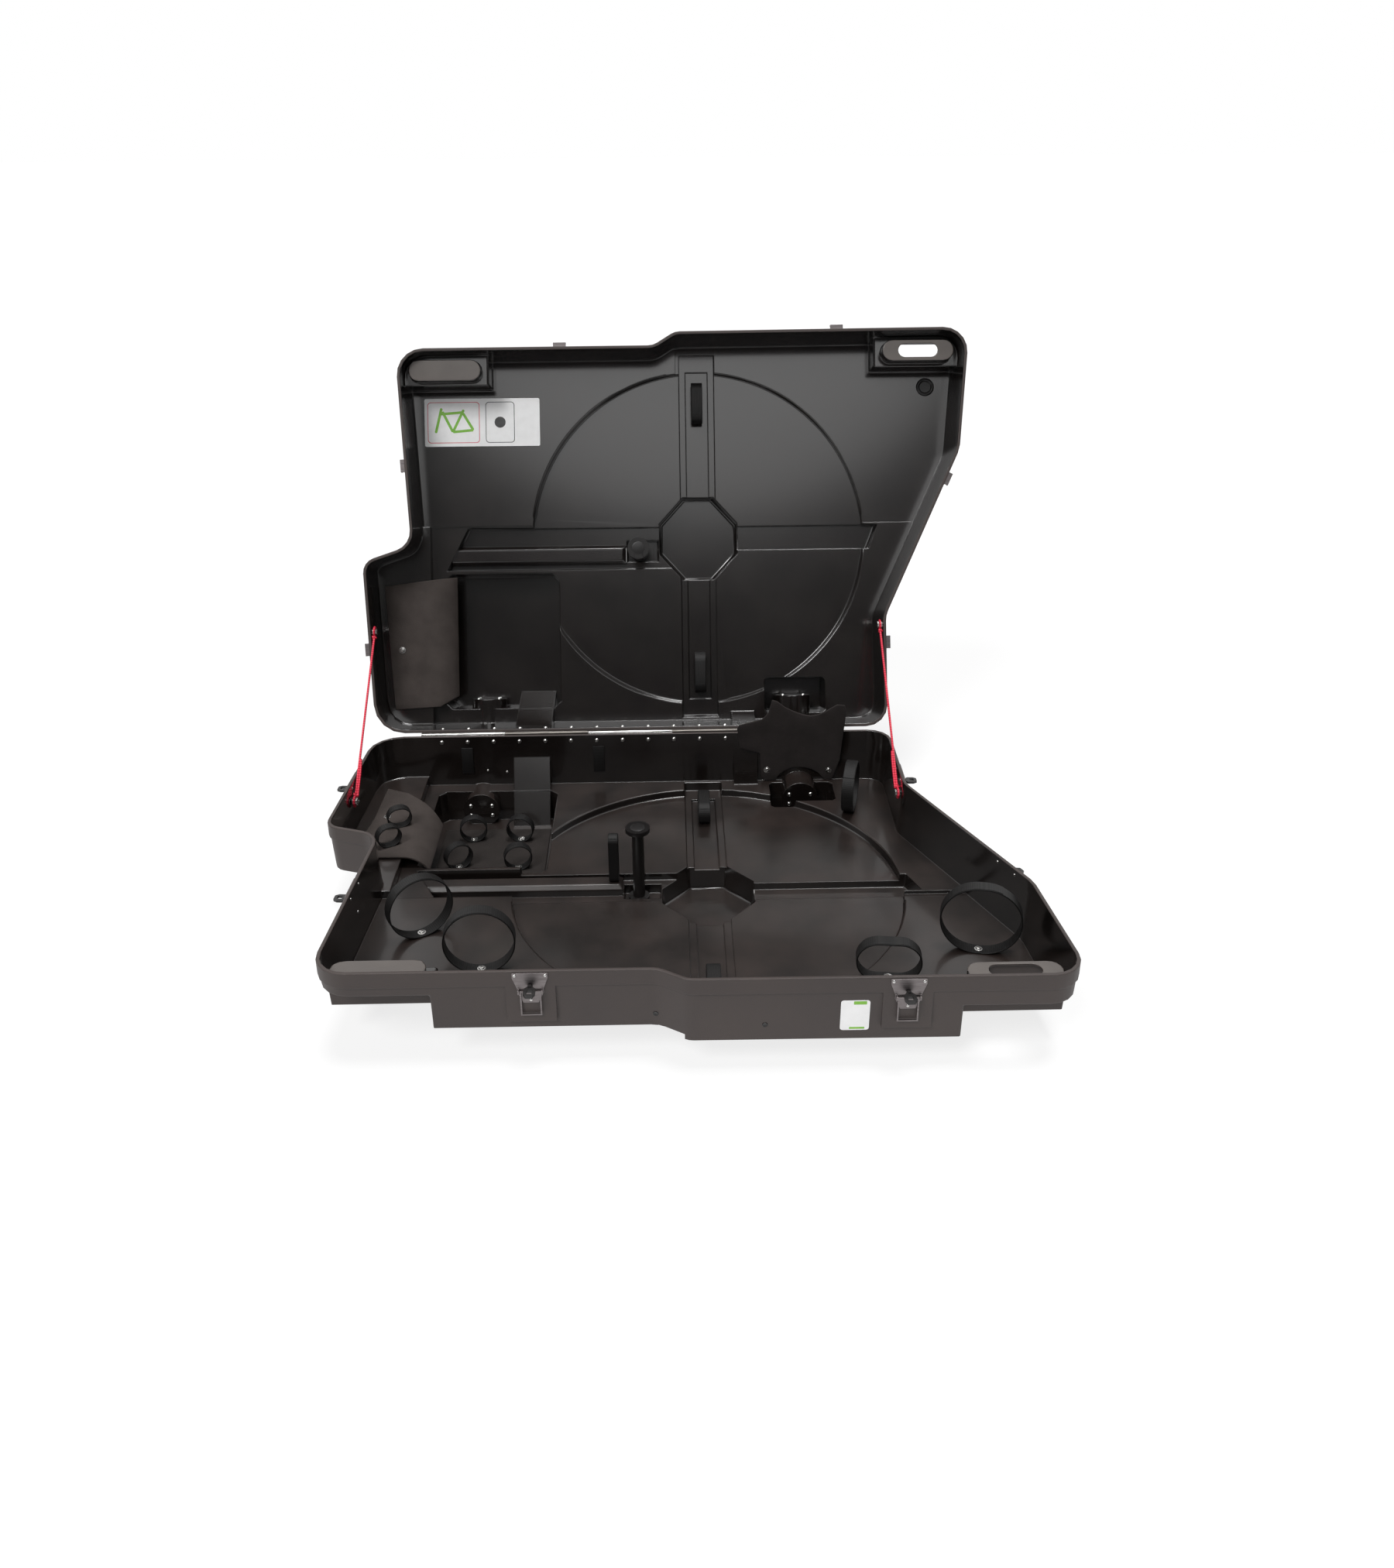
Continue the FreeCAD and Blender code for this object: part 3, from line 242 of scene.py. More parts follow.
def braided_cord():
    """Braided polyester cord: red, with a plait 3 mm long."""
    made, tree, shader = material("red_braided_polyester", Roughness=0.5)
    place = (add(tree, "ShaderNodeUVMap"), "UV")
    plait = ribs(tree, place, 110.0, 1.2, "DIAGONAL")
    tint(tree, shader, plait, 0.15, 0.8, "#c01630", "#ee3a55")
    relief(tree, shader, plait, 0.6, 0.0005)
    return made


def satin_plastic():
    """Turned acetal: satin black with turning marks 3 mm apart."""
    made, tree, shader = material("satin_acetal", Roughness=0.3)
    place = (add(tree, "ShaderNodeTexCoord"), "Object")
    turning = ribs(tree, place, 100.0, 0.6, "Z")
    tint(tree, shader, turning, 0.2, 0.8, "#121010", "#1c1a19")
    relief(tree, shader, turning, 0.12, 0.0003)
    return made


def printed_film(name, dark, light):
    """Printed vinyl film: even colour with a soft gloss and faint bubbles."""
    made, tree, shader = material(name)
    cloud = clouds(tree, 60.0, 2.0)
    tint(tree, shader, cloud, 0.3, 0.7, dark, light)
    gloss(tree, shader, cloud, 0.34, 0.46)
    return made


GLOSS = moulded_sheet("thermoformed_abs_gloss", "#130f0e", "#1b1715", 0.17, 0.22, 0.03, 0.9)
# Painted light: a paler sheet for the deep up-facing floor of the base, standing for the light that falls on it
# from above
LIT_FLOOR = moulded_sheet("thermoformed_abs_floor_painted_light", "#1b1614", "#2d2522", 0.3, 0.42, 0.05, 0.4)
# Painted sheen: a paler sheet for the tops of the hand holds, standing for the light they reflect
GRIP_SHEEN = moulded_sheet("thermoformed_abs_grip_painted_sheen", "#4e4743", "#5b544f", 0.3, 0.4, 0.04, 0.4)
GRAIN = grained_sheet()
STEEL = plated_steel("zinc_plated_steel", "#b9b7b4", "#dedddb", 0.16, 0.34)
DULL_STEEL = plated_steel("worn_zinc_plate", "#5c5854", "#837f7a", 0.3, 0.5)
LATCH = plated_steel("black_zinc_plate", "#6a6464", "#8a8484", 0.34, 0.5)
BLACK = painted_steel()
TREAD = tread_rubber()
FOAM = foam_sheet("cross_linked_foam", "#3a3431", "#47403d")
MAT = foam_sheet("tool_mat_foam", "#211d1b", "#2b2624")
GUARD = foam_sheet("guard_sheet_foam", "#262221", "#302b2a")
WEBBING = woven_webbing()
RED = braided_cord()
SATIN = satin_plastic()
PAPER = printed_film("white_vinyl_label", "#f6f6f6", "#fdfdfd")
GREEN = printed_film("green_ink", "#7bbb3c", "#8cc64a")
ROSE = printed_film("red_ink", "#d8606c", "#e0707a")
INK = printed_film("dark_ink", "#3a3a3a", "#4a4a4a")


# Mesh helpers, with tolerances in metres and degrees

JOIN = 2e-5
WELD = 1e-5
TOUCH = 1e-6
CORD_TOUCH = 1e-7
FLAT_ANGLE = 0.6
SOFT_EDGE_ANGLE = 35.0
CUT_EDGE_ANGLE = 40
ORIGIN = (0, 0, 0)


def piece(name, made, body, slot, finish, *replaced):
    """Turns a bmesh into a piece that rides on a body, and may stand for CAD nodes."""
    mesh = as_mesh(made, name)
    item = bpy.data.objects.new(name, mesh)
    bpy.context.scene.collection.objects.link(item)
    for coat in finish:
        mesh.materials.append(coat)
    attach(item, body)
    if replaced:
        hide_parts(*replaced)
    return item


def as_mesh(made, name):
    """Turns a bmesh into a mesh."""
    mesh = bpy.data.meshes.new(name)
    made.to_mesh(mesh)
    made.free()
    return mesh


def smooth(item, degrees):
    """Smooth shading, kept sharp over an angle."""
    mesh = item.data
    mesh.polygons.foreach_set("use_smooth", [True] * len(mesh.polygons))
    mesh.set_sharp_from_angle(angle=math.radians(degrees))
    return item


def merged_copy(node_name):
    """A CAD node's mesh with its loose triangles joined and its flat faces dissolved."""
    made = bmesh.new()
    made.from_mesh(nodes[node_name].data)
    for face in made.faces:
        face.material_index = 0
    bmesh.ops.remove_doubles(made, verts=made.verts, dist=JOIN)
    bmesh.ops.dissolve_limit(made, angle_limit=math.radians(FLAT_ANGLE), verts=made.verts, edges=made.edges)
    return made


def sharp_edges(made, degrees):
    """Edges whose two faces turn by more than an angle."""
    limit = math.radians(degrees)
    return [edge for edge in made.edges if len(edge.link_faces) == 2 and edge.calc_face_angle(0.0) > limit]


def round_edges(made, edges, width, segments):
    """Rounds edges in place."""
    bmesh.ops.bevel(made, geom=edges, offset=width, offset_type="OFFSET", affect="EDGES", segments=segments,
                    profile=0.5, clamp_overlap=True, material=-1)


def spin_closed(made, section, axis, steps):
    """Turns a face once round an axis into a ring and drops the face."""
    bmesh.ops.spin(made, geom=section.verts[:] + section.edges[:], cent=ORIGIN, axis=axis, angle=math.tau,
                   steps=steps, use_merge=True)
    bmesh.ops.delete(made, geom=[section], context="FACES_ONLY")


def dress(node_name, finish, width):
    """A CAD node that stays: its finish, with softened edges."""
    item = nodes[node_name]
    item.data.materials.clear()
    item.data.materials.append(finish)
    weld = item.modifiers.new("weld", "WELD")
    weld.merge_threshold = WELD
    bevel = item.modifiers.new("soft_edges", "BEVEL")
    bevel.width = width
    bevel.segments = 2
    bevel.limit_method = "ANGLE"
    bevel.angle_limit = math.radians(SOFT_EDGE_ANGLE)
    bevel.use_clamp_overlap = True


def turned(name, profile, steps):
    """A turned mesh from pairs of radius and height in millimetres, about Z."""
    made = bmesh.new()
    points = [made.verts.new((r / 1000, 0, z / 1000)) for r, z in profile]
    edges = [made.edges.new(pair) for pair in zip(points, points[1:])]
    bmesh.ops.spin(made, geom=points + edges, cent=ORIGIN, axis=(0, 0, 1), angle=math.tau, steps=steps,
                   use_merge=True)
    bmesh.ops.remove_doubles(made, verts=made.verts, dist=TOUCH)
    bmesh.ops.recalc_face_normals(made, faces=made.faces)
    return as_mesh(made, name)


def stamped(mesh, places):
    """One bmesh with a copy of a mesh at each place."""
    made = bmesh.new()
    for place in places:
        copy = mesh.copy()
        copy.transform(place)
        made.from_mesh(copy)
        bpy.data.meshes.remove(copy)
    return made


def skin_tree(half):
    """A search tree over the solid of a shell."""
    made = merged_copy(f"{half}_shell")
    tree = BVHTree.FromBMesh(made)
    made.free()
    return tree


SKIN = {half: skin_tree(half) for half in HALF}


def facing(place, direction):
    """A frame with Z along a direction and Y as near to up as it can be."""
    return Matrix.Translation(place) @ direction.to_track_quat("Z", "Y").to_matrix().to_4x4()


def seat(half, start, toward):
    """A frame on the sheet where a line from a point of a half meets it, Z out of the surface."""
    line = way(half, *toward)
    hit, normal = SKIN[half].ray_cast(at(half, *start), line)[:2]
    if normal.dot(line) > 0:
        normal = -normal
    return facing(hit, normal)


# Shells: rounded copies, glossy inside and grained outside

# Hand holds as x, distance from the hinge, half length and half width, in millimetres
HAND_HOLDS = [(-576, 830, 82.5, 24), (508, 866, 82.5, 24)]
HAND_HOLD_DEPTH = 24
HAND_HOLD_BAND = 3
# Rounding of a crease by the shortest crease beside it, in metres, and the rounding of the rim
CREASES = [(0.040, 0.0060), (0.020, 0.0042), (0.008, 0.0022), (0.004, 0.0012), (0.002, 0.0006)]
RIM_ROUNDING = 0.0014
CREASE_ANGLE = 24
# Steps finer than the first are drawn together, and slivers thinner than the second go
FINE_STEP = 0.0004
SLIVER = 0.0001
# Depths in metres: edges of the rim, its flat face, and where the paler floor of painted light begins
RIM_EDGES = 0.004
RIM_FACE = 0.001
FLOOR_START = 0.08
# A face is inside if a line down from this far off it meets the sheet, and level if it faces up this much
SHEET_PROBE = 0.0012
LEVEL = 0.7
# Folded faces: the angle that tells one, and how the rounding within reach of it is lessened
FOLD_ANGLE = 150
EASE_TURNS = 8
EASE_REACH = 1.5 * CREASES[0][1]
EASE_STEP = 0.6
LEAST_SHARE = 0.12
# Spread of the normals that are drawn together on a panel and on a crease, and how near a crease face comes
# to a panel
PANEL_SPREAD = 30
CREASE_SPREAD = 60
NEAR_PANEL = 0.5

SHELL_FINISH = [GLOSS, GRAIN, GRIP_SHEEN, LIT_FLOOR]
INSIDE, OUTSIDE, GRIP_SHEEN_SLOT, LIT_FLOOR_SLOT, MARK = range(5)


def on_hand_hold(x, s, d):
    """Whether a point of a half lies on the top of a hand hold."""
    return abs(d - HAND_HOLD_DEPTH) < HAND_HOLD_BAND and any(
        abs(x - hold_x) < long and abs(s - hold_s) < wide for hold_x, hold_s, long, wide in HAND_HOLDS)


def rounded_mesh(made, slot=-1):
    """A shell with its creases rounded by their weights, the new faces in a material slot if one is given."""
    mesh = bpy.data.meshes.new("trial")
    made.to_mesh(mesh)
    for finish in SHELL_FINISH + [STEEL]:
        mesh.materials.append(finish)
    item = bpy.data.objects.new("trial", mesh)
    bpy.context.scene.collection.objects.link(item)
    bevel = item.modifiers.new("moulded_creases", "BEVEL")
    bevel.limit_method = "WEIGHT"
    bevel.width = CREASES[0][1]
    bevel.segments = 3
    bevel.use_clamp_overlap = False
    bevel.material = slot
    rounded = bpy.data.meshes.new_from_object(item.evaluated_get(bpy.context.evaluated_depsgraph_get()))
    bpy.data.objects.remove(item)
    bpy.data.meshes.remove(mesh)
    return rounded


def folded_spots(made):
    """Corners of the faces that the rounding would fold over."""
    rounded = rounded_mesh(made)
    trial = bmesh.new()
    trial.from_mesh(rounded)
    bpy.data.meshes.remove(rounded)
    spots = [vertex.co.copy() for edge in sharp_edges(trial, FOLD_ANGLE)
             for vertex in min(edge.link_faces, key=lambda face: face.calc_area()).verts]
    trial.free()
    return spots


def ease_folds(made, share, creases):
    """Lessens the rounding of the creases beside folded faces until none folds."""
    made.verts.index_update()
    made.verts.ensure_lookup_table()
    near = KDTree(len(made.verts))
    for vertex in made.verts:
        near.insert(vertex.co, vertex.index)
    near.balance()
    for _ in range(EASE_TURNS):
        corners = {index for spot in folded_spots(made) for _, index, _ in near.find_range(spot, EASE_REACH)}
        beside = {edge for index in corners for edge in made.verts[index].link_edges if edge in creases}
        for edge in beside:
            edge[share] = edge[share] * EASE_STEP if edge[share] > LEAST_SHARE else 0.0


def shared_normal(normal, faces, degrees):
    """The normal of the faces that lie within an angle of one normal."""
    total = Vector(ORIGIN)
    for face in faces:
        if face.normal.dot(normal) > math.cos(math.radians(degrees)):
            total += face.normal * face.area
    return total.normalized() if total.length > 0 else normal


def crease_normals(mesh):
    """Corner normals: panels keep their own, and a marked crease leads from one panel's to the next."""
    around = {}
    for face in mesh.polygons:
        for index in face.vertices:
            around.setdefault(index, []).append(face)
    normals = []
    for face in mesh.polygons:
        for index in face.vertices:
            panels = [near for near in around[index] if near.material_index != MARK]
            if face.material_index != MARK:
                normals.append(shared_normal(face.normal, panels, PANEL_SPREAD))
                continue
            best = max(panels, key=lambda near: near.normal.dot(face.normal), default=face)
            if best is not face and best.normal.dot(face.normal) > NEAR_PANEL:
                normals.append(shared_normal(best.normal, panels, PANEL_SPREAD))
            else:
                normals.append(shared_normal(face.normal, around[index], CREASE_SPREAD))
    return normals


def crease_share(edge, creases, local):
    """The weight of a crease: as round as the creases beside it leave room for, and tighter at the rim."""
    depth = max(-(local @ vertex.co).z for vertex in edge.verts)
    room = min(near.calc_length() for vertex in edge.verts for near in vertex.link_edges if near in creases)
    radius = next((wide for least, wide in CREASES if room > least), 0.0)
    if depth < RIM_EDGES:
        radius = min(radius, RIM_ROUNDING)
    return radius / CREASES[0][1]


def shell_slot(half, face, local):
    """The finish of a face of a shell."""
    down = way(half, 0, 0, 1)
    middle = face.calc_center_median()
    spot = local @ middle
    inside = SKIN[half].ray_cast(middle + face.normal * SHEET_PROBE, down)[0] is not None
    if face.normal.dot(down) < -LEVEL:
        # The tops of the hand holds take the paler sheet of painted sheen
        if on_hand_hold(spot.x * 1000, SIDE[half] * spot.y * 1000, -spot.z * 1000):
            return GRIP_SHEEN_SLOT
        # Deep up-facing faces inside the base take the paler sheet of painted light
        if inside and half == "base" and -spot.z > FLOOR_START:
            return LIT_FLOOR_SLOT
        if -spot.z < RIM_FACE:
            return OUTSIDE
    return INSIDE if inside else OUTSIDE


def moulded_shell(half):
    """A shell with rounded creases, its finishes, and normals that keep its panels flat."""
    made = bmesh.new()
    made.from_mesh(nodes[f"{half}_shell"].data)
    bmesh.ops.remove_doubles(made, verts=made.verts, dist=FINE_STEP)
    bmesh.ops.dissolve_degenerate(made, edges=made.edges, dist=SLIVER)
    local = HALF[half].inverted()
    share = made.edges.layers.float.new("bevel_weight_edge")
    creases = set(sharp_edges(made, CREASE_ANGLE))
    for edge in creases:
        edge[share] = crease_share(edge, creases, local)
    ease_folds(made, share, creases)
    for face in made.faces:
        face.material_index = shell_slot(half, face, local)
    marked = rounded_mesh(made, MARK)
    normals = crease_normals(marked)
    bpy.data.meshes.remove(marked)
    rounded = rounded_mesh(made)
    made.clear()
    made.from_mesh(rounded)
    bpy.data.meshes.remove(rounded)
    shell = piece(f"{half}_moulding", made, half, "shell", SHELL_FINISH, f"{half}_shell")
    shell.data.polygons.foreach_set("use_smooth", [True] * len(shell.data.polygons))
    shell.data.normals_split_custom_set(normals)


for half in HALF:
    moulded_shell(half)


# Foam sheets: softened copies with a slight wave, in metres

FOAM_EDGE = 0.0016
FOAM_GRID = 0.018
FOAM_WAVES = 16
PAD_LIFT = 0.0014
SHEET_LIFT = 0.0012


def foam_piece(name, node_name, half, finish, lift, across):
    """A foam sheet with rounded edges that lies a little uneven, raised along one direction."""
    made = merged_copy(node_name)
    round_edges(made, sharp_edges(made, CUT_EDGE_ANGLE), FOAM_EDGE, 3)
    low, high = (Vector(corner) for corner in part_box(node_name))
    for axis in across:
        count = int((high[axis] - low[axis]) / FOAM_GRID)
        for index in range(1, count):
            point = low.copy()
            point[axis] += (high[axis] - low[axis]) * index / count
            normal = Vector(ORIGIN)
            normal[axis] = 1
            bmesh.ops.bisect_plane(made, geom=made.verts[:] + made.edges[:] + made.faces[:], dist=TOUCH,
                                   plane_co=point, plane_no=normal)
    for vertex in made.verts:
        vertex.co += lift * (0.5 + 0.5 * noise.noise(vertex.co * FOAM_WAVES))
    bmesh.ops.triangulate(made, faces=[face for face in made.faces if len(face.verts) > 4])
    item = piece(name, made, half, "foam", [finish], node_name)
    smooth(item, 42)


foam_piece("base_side_foam", "base_side_pad", "base", FOAM, way("base", 0, 0, -1) * PAD_LIFT, (0, 1))
foam_piece("lid_side_foam", "lid_side_pad", "lid", FOAM, way("lid", 0, 0, -1) * PAD_LIFT, (0, 2))
foam_piece("tool_mat_foam", "tool_mat", "base", MAT, way("base", 0, 0, -1) * SHEET_LIFT, (0, 1))
foam_piece("frame_guard_foam", "frame_guard", "base", GUARD, way("base", 0, 1, 0) * SHEET_LIFT, (0, 2))


# Webbing: hanging straps, their edges in metres, and standing loops with a lapped end, in millimetres and degrees

STRAP_EDGE = 0.0008
WEB = 2.5
WEB_EDGE = 0.6
SEAT_GAP = 0.3
LOOP_STEPS = 48
# The lap lies over the loop between these heights, is narrower by the margin, and runs on over its top
LAP_FOOT = -0.2
LAP_TOP = 1.3
LAP_MARGIN = 1.0
LAP_START = 62
LAP_SWEEP = -68
LAP_STEPS = 10
# Loops by node: half, then x, distance from the hinge, depth of the seat, turn, width, height and band
LOOPS = {
    "floor_loops": ("base", [(-547, 600, 117, 30, 125, 125, 26), (-420, 714, 117, 4, 130, 130, 26),
                             (315, 745, 128, -6, 118, 80, 26), (496, 668, 128, -12, 150, 140, 26),
                             (322, 152, 121, 75, 112, 112, 26)]),
    "tool_loops": ("base", [(-512, 150, 188, 8, 60, 60, 20), (-408, 152, 188, -6, 60, 60, 20),
                            (-530, 262, 188, 30, 60, 60, 20), (-402, 268, 188, 10, 60, 60, 20)]),
    "pad_loops": ("base", [(-652, 240, 94.7, 20, 52, 46, 20), (-660, 318, 94.7, 30, 52, 46, 20)]),
    "wheel_straps_base": ("base", [(0, 129, 148, 90, 96, 48, 26), (0, 765, 148, 90, 96, 48, 26),
                                   (-190, 411, 129, 90, 28, 107, 20)]),
    "wheel_straps_lid": ("lid", [(0, 129, 148, 90, 96, 48, 26), (0, 765, 148, 90, 96, 48, 26)]),
}


def band_section(made, inner, outer, half_band, turn):
    """The rounded section of a band at an angle round its loop."""
    corners = [(outer, -half_band + WEB_EDGE), (outer, half_band - WEB_EDGE), (outer - WEB_EDGE, half_band),
               (inner + WEB_EDGE, half_band), (inner, half_band - WEB_EDGE), (inner, -half_band + WEB_EDGE),
               (inner + WEB_EDGE, -half_band), (outer - WEB_EDGE, -half_band)]
    return made.faces.new([made.verts.new((r / 1000 * math.cos(turn), y / 1000, r / 1000 * math.sin(turn)))
                           for r, y in corners])


def unroll(made, radius):
    """UV in metres: along the band and across it."""
    layer = made.loops.layers.uv.verify()
    for face in made.faces:
        middle = face.calc_center_median()
        heading = math.atan2(middle.z, middle.x)
        for loop in face.loops:
            turn = math.atan2(loop.vert.co.z, loop.vert.co.x) - heading
            turn = (turn + math.pi) % math.tau - math.pi
            loop[layer].uv = ((heading + turn) * radius, loop.vert.co.y)


def webbing_loop(wide, high, band):
    """A standing loop of webbing, its foot at the origin, its axis along Y, with a lap over its top."""
    # a hair under half, so that no straight side has length nought
    radius = min(wide, high) / 2 - 0.01
    made = bmesh.new()
    half_step = math.pi / LOOP_STEPS
    start = band_section(made, radius - WEB, radius, band / 2, half_step)
    spin_closed(made, start, (0, 1, 0), LOOP_STEPS)
    lap = band_section(made, radius + LAP_FOOT, radius + LAP_TOP, band / 2 - LAP_MARGIN,
                       math.radians(LAP_START) + half_step)
    bmesh.ops.spin(made, geom=[lap], cent=ORIGIN, axis=(0, 1, 0), angle=math.radians(LAP_SWEEP),
                   steps=LAP_STEPS)
    bmesh.ops.remove_doubles(made, verts=made.verts, dist=TOUCH)
    bmesh.ops.recalc_face_normals(made, faces=made.faces)
    unroll(made, radius / 1000)
    for vertex in made.verts:
        vertex.co.x += math.copysign(wide / 2 - radius, vertex.co.x) / 1000
        vertex.co.z += math.copysign(high / 2 - radius, vertex.co.z) / 1000 + high / 2000
    return as_mesh(made, "webbing_loop")


def webbing_loops(node_name):
    """All the loops of one node, each on its seat."""
    half, rows = LOOPS[node_name]
    made = bmesh.new()
    for x, s, depth, turn, wide, high, band in rows:
        mesh = webbing_loop(wide, high, band)
        mesh.transform(stand(half, x, s, depth - SEAT_GAP, turn))
        made.from_mesh(mesh)
        bpy.data.meshes.remove(mesh)
    smooth(piece(f"{node_name}_webbing", made, half, "webbing", [WEBBING], node_name), 40)


def hanging_straps():
    """The flat straps on the hinge wall."""
    made = merged_copy("wall_straps")
    round_edges(made, sharp_edges(made, CUT_EDGE_ANGLE), STRAP_EDGE, 2)
    layer = made.loops.layers.uv.verify()
    for face in made.faces:
        for loop in face.loops:
            loop[layer].uv = (loop.vert.co.z, loop.vert.co.x)
    smooth(piece("wall_straps_webbing", made, "base", "webbing", [WEBBING], "wall_straps"), 40)


for name in LOOPS:
    webbing_loops(name)
hanging_straps()


# Lanyards, in metres; their studs are given in millimetres of a half

STUD_FROM_HINGE = 236
STUD_DEPTH = {"base": 36, "lid": 14}
STUD_CLEARANCE = 0.00723
CORD_RADIUS = 0.0025
CORD_LEAD = 0.03
# Cord of the lap and the nooses, the lap's offset, and its points as reach along the cord and share of
# the offset
LOOSE_RADIUS = 0.0024
CORD_LAP_BESIDE = 0.0044
CORD_LAP_POINTS = [(0.004, 1.0), (0.03, 1.0), (0.07, 1.0), (0.092, 0.6)]
# The noose round a stud, and its knot of two turns as lean in degrees and radius
NOOSE_RADIUS = 0.0105
NOOSE_SIDES = 10
NOOSE_STEPS = 28
KNOT_REACH = 0.0155
KNOT_TURNS = [(35, 0.0042), (-40, 0.0038)]
KNOT_FORM = (1.25, 0.9, 1.0)
KNOT_WAVE = 0.0009
KNOT_RIBS = Vector((1500, 0, 1100))


def route_mesh(name, points, thickness):
    """The points along a smooth line, and a tube round it."""
    curve = bpy.data.curves.new(name, "CURVE")
    curve.dimensions = "3D"
    spline = curve.splines.new("NURBS")
    spline.points.add(len(points) - 1)
    for item, place in zip(spline.points, points):
        item.co = (*place, 1.0)
    spline.order_u = 3
    spline.use_endpoint_u = True
    route = bpy.data.objects.new(name, curve)
    bpy.context.scene.collection.objects.link(route)
    bpy.context.view_layer.update()
    line = bpy.data.meshes.new_from_object(route.evaluated_get(bpy.context.evaluated_depsgraph_get()))
    path = [tuple(vertex.co) for vertex in line.vertices]
    curve.bevel_depth = thickness
    curve.bevel_resolution = 4
    curve.use_fill_caps = True
    bpy.context.view_layer.update()
    tube = bpy.data.meshes.new_from_object(route.evaluated_get(bpy.context.evaluated_depsgraph_get()))
    bpy.data.objects.remove(route)
    return path, tube


def plait_map(made, start, line):
    """Smooth faces with UV in metres along a cord."""
    layer = made.loops.layers.uv.verify()
    for face in made.faces:
        face.smooth = True
        face.material_index = 0
        for loop in face.loops:
            loop[layer].uv = ((loop.vert.co - start).dot(line), 0.0)


def cord_piece(name, mesh, start, end, *replaced):
    """A red cord from the base's stud to the lid's, shaded smooth, its plait mapped along the line."""
    made = bmesh.new()
    made.from_mesh(mesh)
    bmesh.ops.remove_doubles(made, verts=made.verts, dist=CORD_TOUCH)
    plait_map(made, start, (end - start).normalized())
    made.to_mesh(mesh)
    made.free()
    mesh.name = name
    cord = bpy.data.objects.new(name, mesh)
    bpy.context.scene.collection.objects.link(cord)
    mesh.materials.clear()
    mesh.materials.append(RED)
    if replaced:
        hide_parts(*replaced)
    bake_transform(cord)
    return cord


def noose(name, half, place, line):
    """The turn of cord round a stud, and the knot that closes it."""
    made = bmesh.new()
    turns = [math.tau * k / NOOSE_SIDES for k in range(NOOSE_SIDES)]
    section = made.faces.new([
        made.verts.new((NOOSE_RADIUS + LOOSE_RADIUS * math.cos(turn), 0, LOOSE_RADIUS * math.sin(turn)))
        for turn in turns])
    spin_closed(made, section, (0, 0, 1), NOOSE_STEPS)
    bmesh.ops.rotate(made, verts=made.verts, cent=ORIGIN, matrix=Matrix.Rotation(math.pi / 2, 3, "Y"))
    bmesh.ops.translate(made, verts=made.verts, vec=place)
    for lean, size in KNOT_TURNS:
        knot = bmesh.ops.create_icosphere(made, subdivisions=3, radius=size)["verts"]
        for vertex in knot:
            vertex.co += vertex.co.normalized() * KNOT_WAVE * math.sin(vertex.co.dot(KNOT_RIBS))
        bmesh.ops.scale(made, verts=knot, vec=KNOT_FORM)
        bmesh.ops.rotate(made, verts=knot, cent=ORIGIN, matrix=Matrix.Rotation(math.radians(lean), 3, "Y"))
        bmesh.ops.translate(made, verts=knot, vec=place + line * KNOT_REACH)
    bmesh.ops.recalc_face_normals(made, faces=made.faces)
    plait_map(made, place, line)
    return smooth(piece(name, made, half, "lanyard", [RED]), 80)


def lanyard(side, x):
    """A red cord from a stud in the base to a stud in the lid, lapped over its own foot."""
    name = f"lanyard_{side}"
    low, high = (at(half, x, STUD_FROM_HINGE, STUD_DEPTH[half]) for half in ("base", "lid"))
    line = (high - low).normalized()
    start = low + line * STUD_CLEARANCE
    end = high - line * STUD_CLEARANCE
    path, tube = route_mesh(f"{name}_route", [start, start + line * CORD_LEAD, end - line * CORD_LEAD, end],
                            CORD_RADIUS)
    cord = cord_piece(f"{name}_cord", tube, start, end, name)
    beside = Vector((math.copysign(CORD_LAP_BESIDE, -x), 0, 0))
    lap_points = [start + line * reach + beside * share for reach, share in CORD_LAP_POINTS]
    lap = cord_piece(f"{name}_lap", route_mesh(f"{name}_lap_route", lap_points, LOOSE_RADIUS)[1], start, end)
    foot = noose(f"{name}_base_noose", "base", low, line)
    head = noose(f"{name}_lid_noose", "lid", high, -line)


lanyard("left", -742.9)
lanyard("right", 411.3)


# Hardware from the solids

for name in nodes:
    if name == "hinge_leaf_lid":
        dress(name, DULL_STEEL, 0.0004)
    elif name.startswith(("hinge_", "caster_plates", "caster_fork", "caster_axle", "lanyard_studs")):
        dress(name, STEEL, 0.0004)
    elif name.startswith(("latch_plates", "latch_keepers", "latch_bail")):
        dress(name, LATCH, 0.0005)
    elif name.startswith("latch_handle"):
        dress(name, BLACK, 0.0009)
    elif name.startswith("post_"):
        dress(name, SATIN, 0.0016)

TREAD_PROFILE = [(2.7, -8), (7, -8), (7.6, -7), (12, -6), (17, -6.4), (19, -7.9), (20.8, -7.4), (21.8, -5.6),
                 (22, -3), (22, 3), (21.8, 5.6), (20.8, 7.4), (19, 7.9), (17, 6.4), (12, 6), (7.6, 7), (7, 8),
                 (2.7, 8), (2.7, -8)]


def caster_tread(half, side):
    """A turned wheel with a crowned tread, dished sides and a hub."""
    node_name = f"caster_wheel_{half}_{side}"
    low, high = (Vector(corner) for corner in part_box(node_name))
    place = Matrix.Translation((low + high) / 2) @ HALF[half].to_3x3().to_4x4()
    made = stamped(turned(node_name, TREAD_PROFILE, 48), [place])
    smooth(piece(f"{node_name}_tread", made, f"caster_{half}_{side}_wheel", "tread", [TREAD], node_name), 40)


for half in HALF:
    for side in ("left", "right"):
        caster_tread(half, side)


# Small fasteners, in millimetres

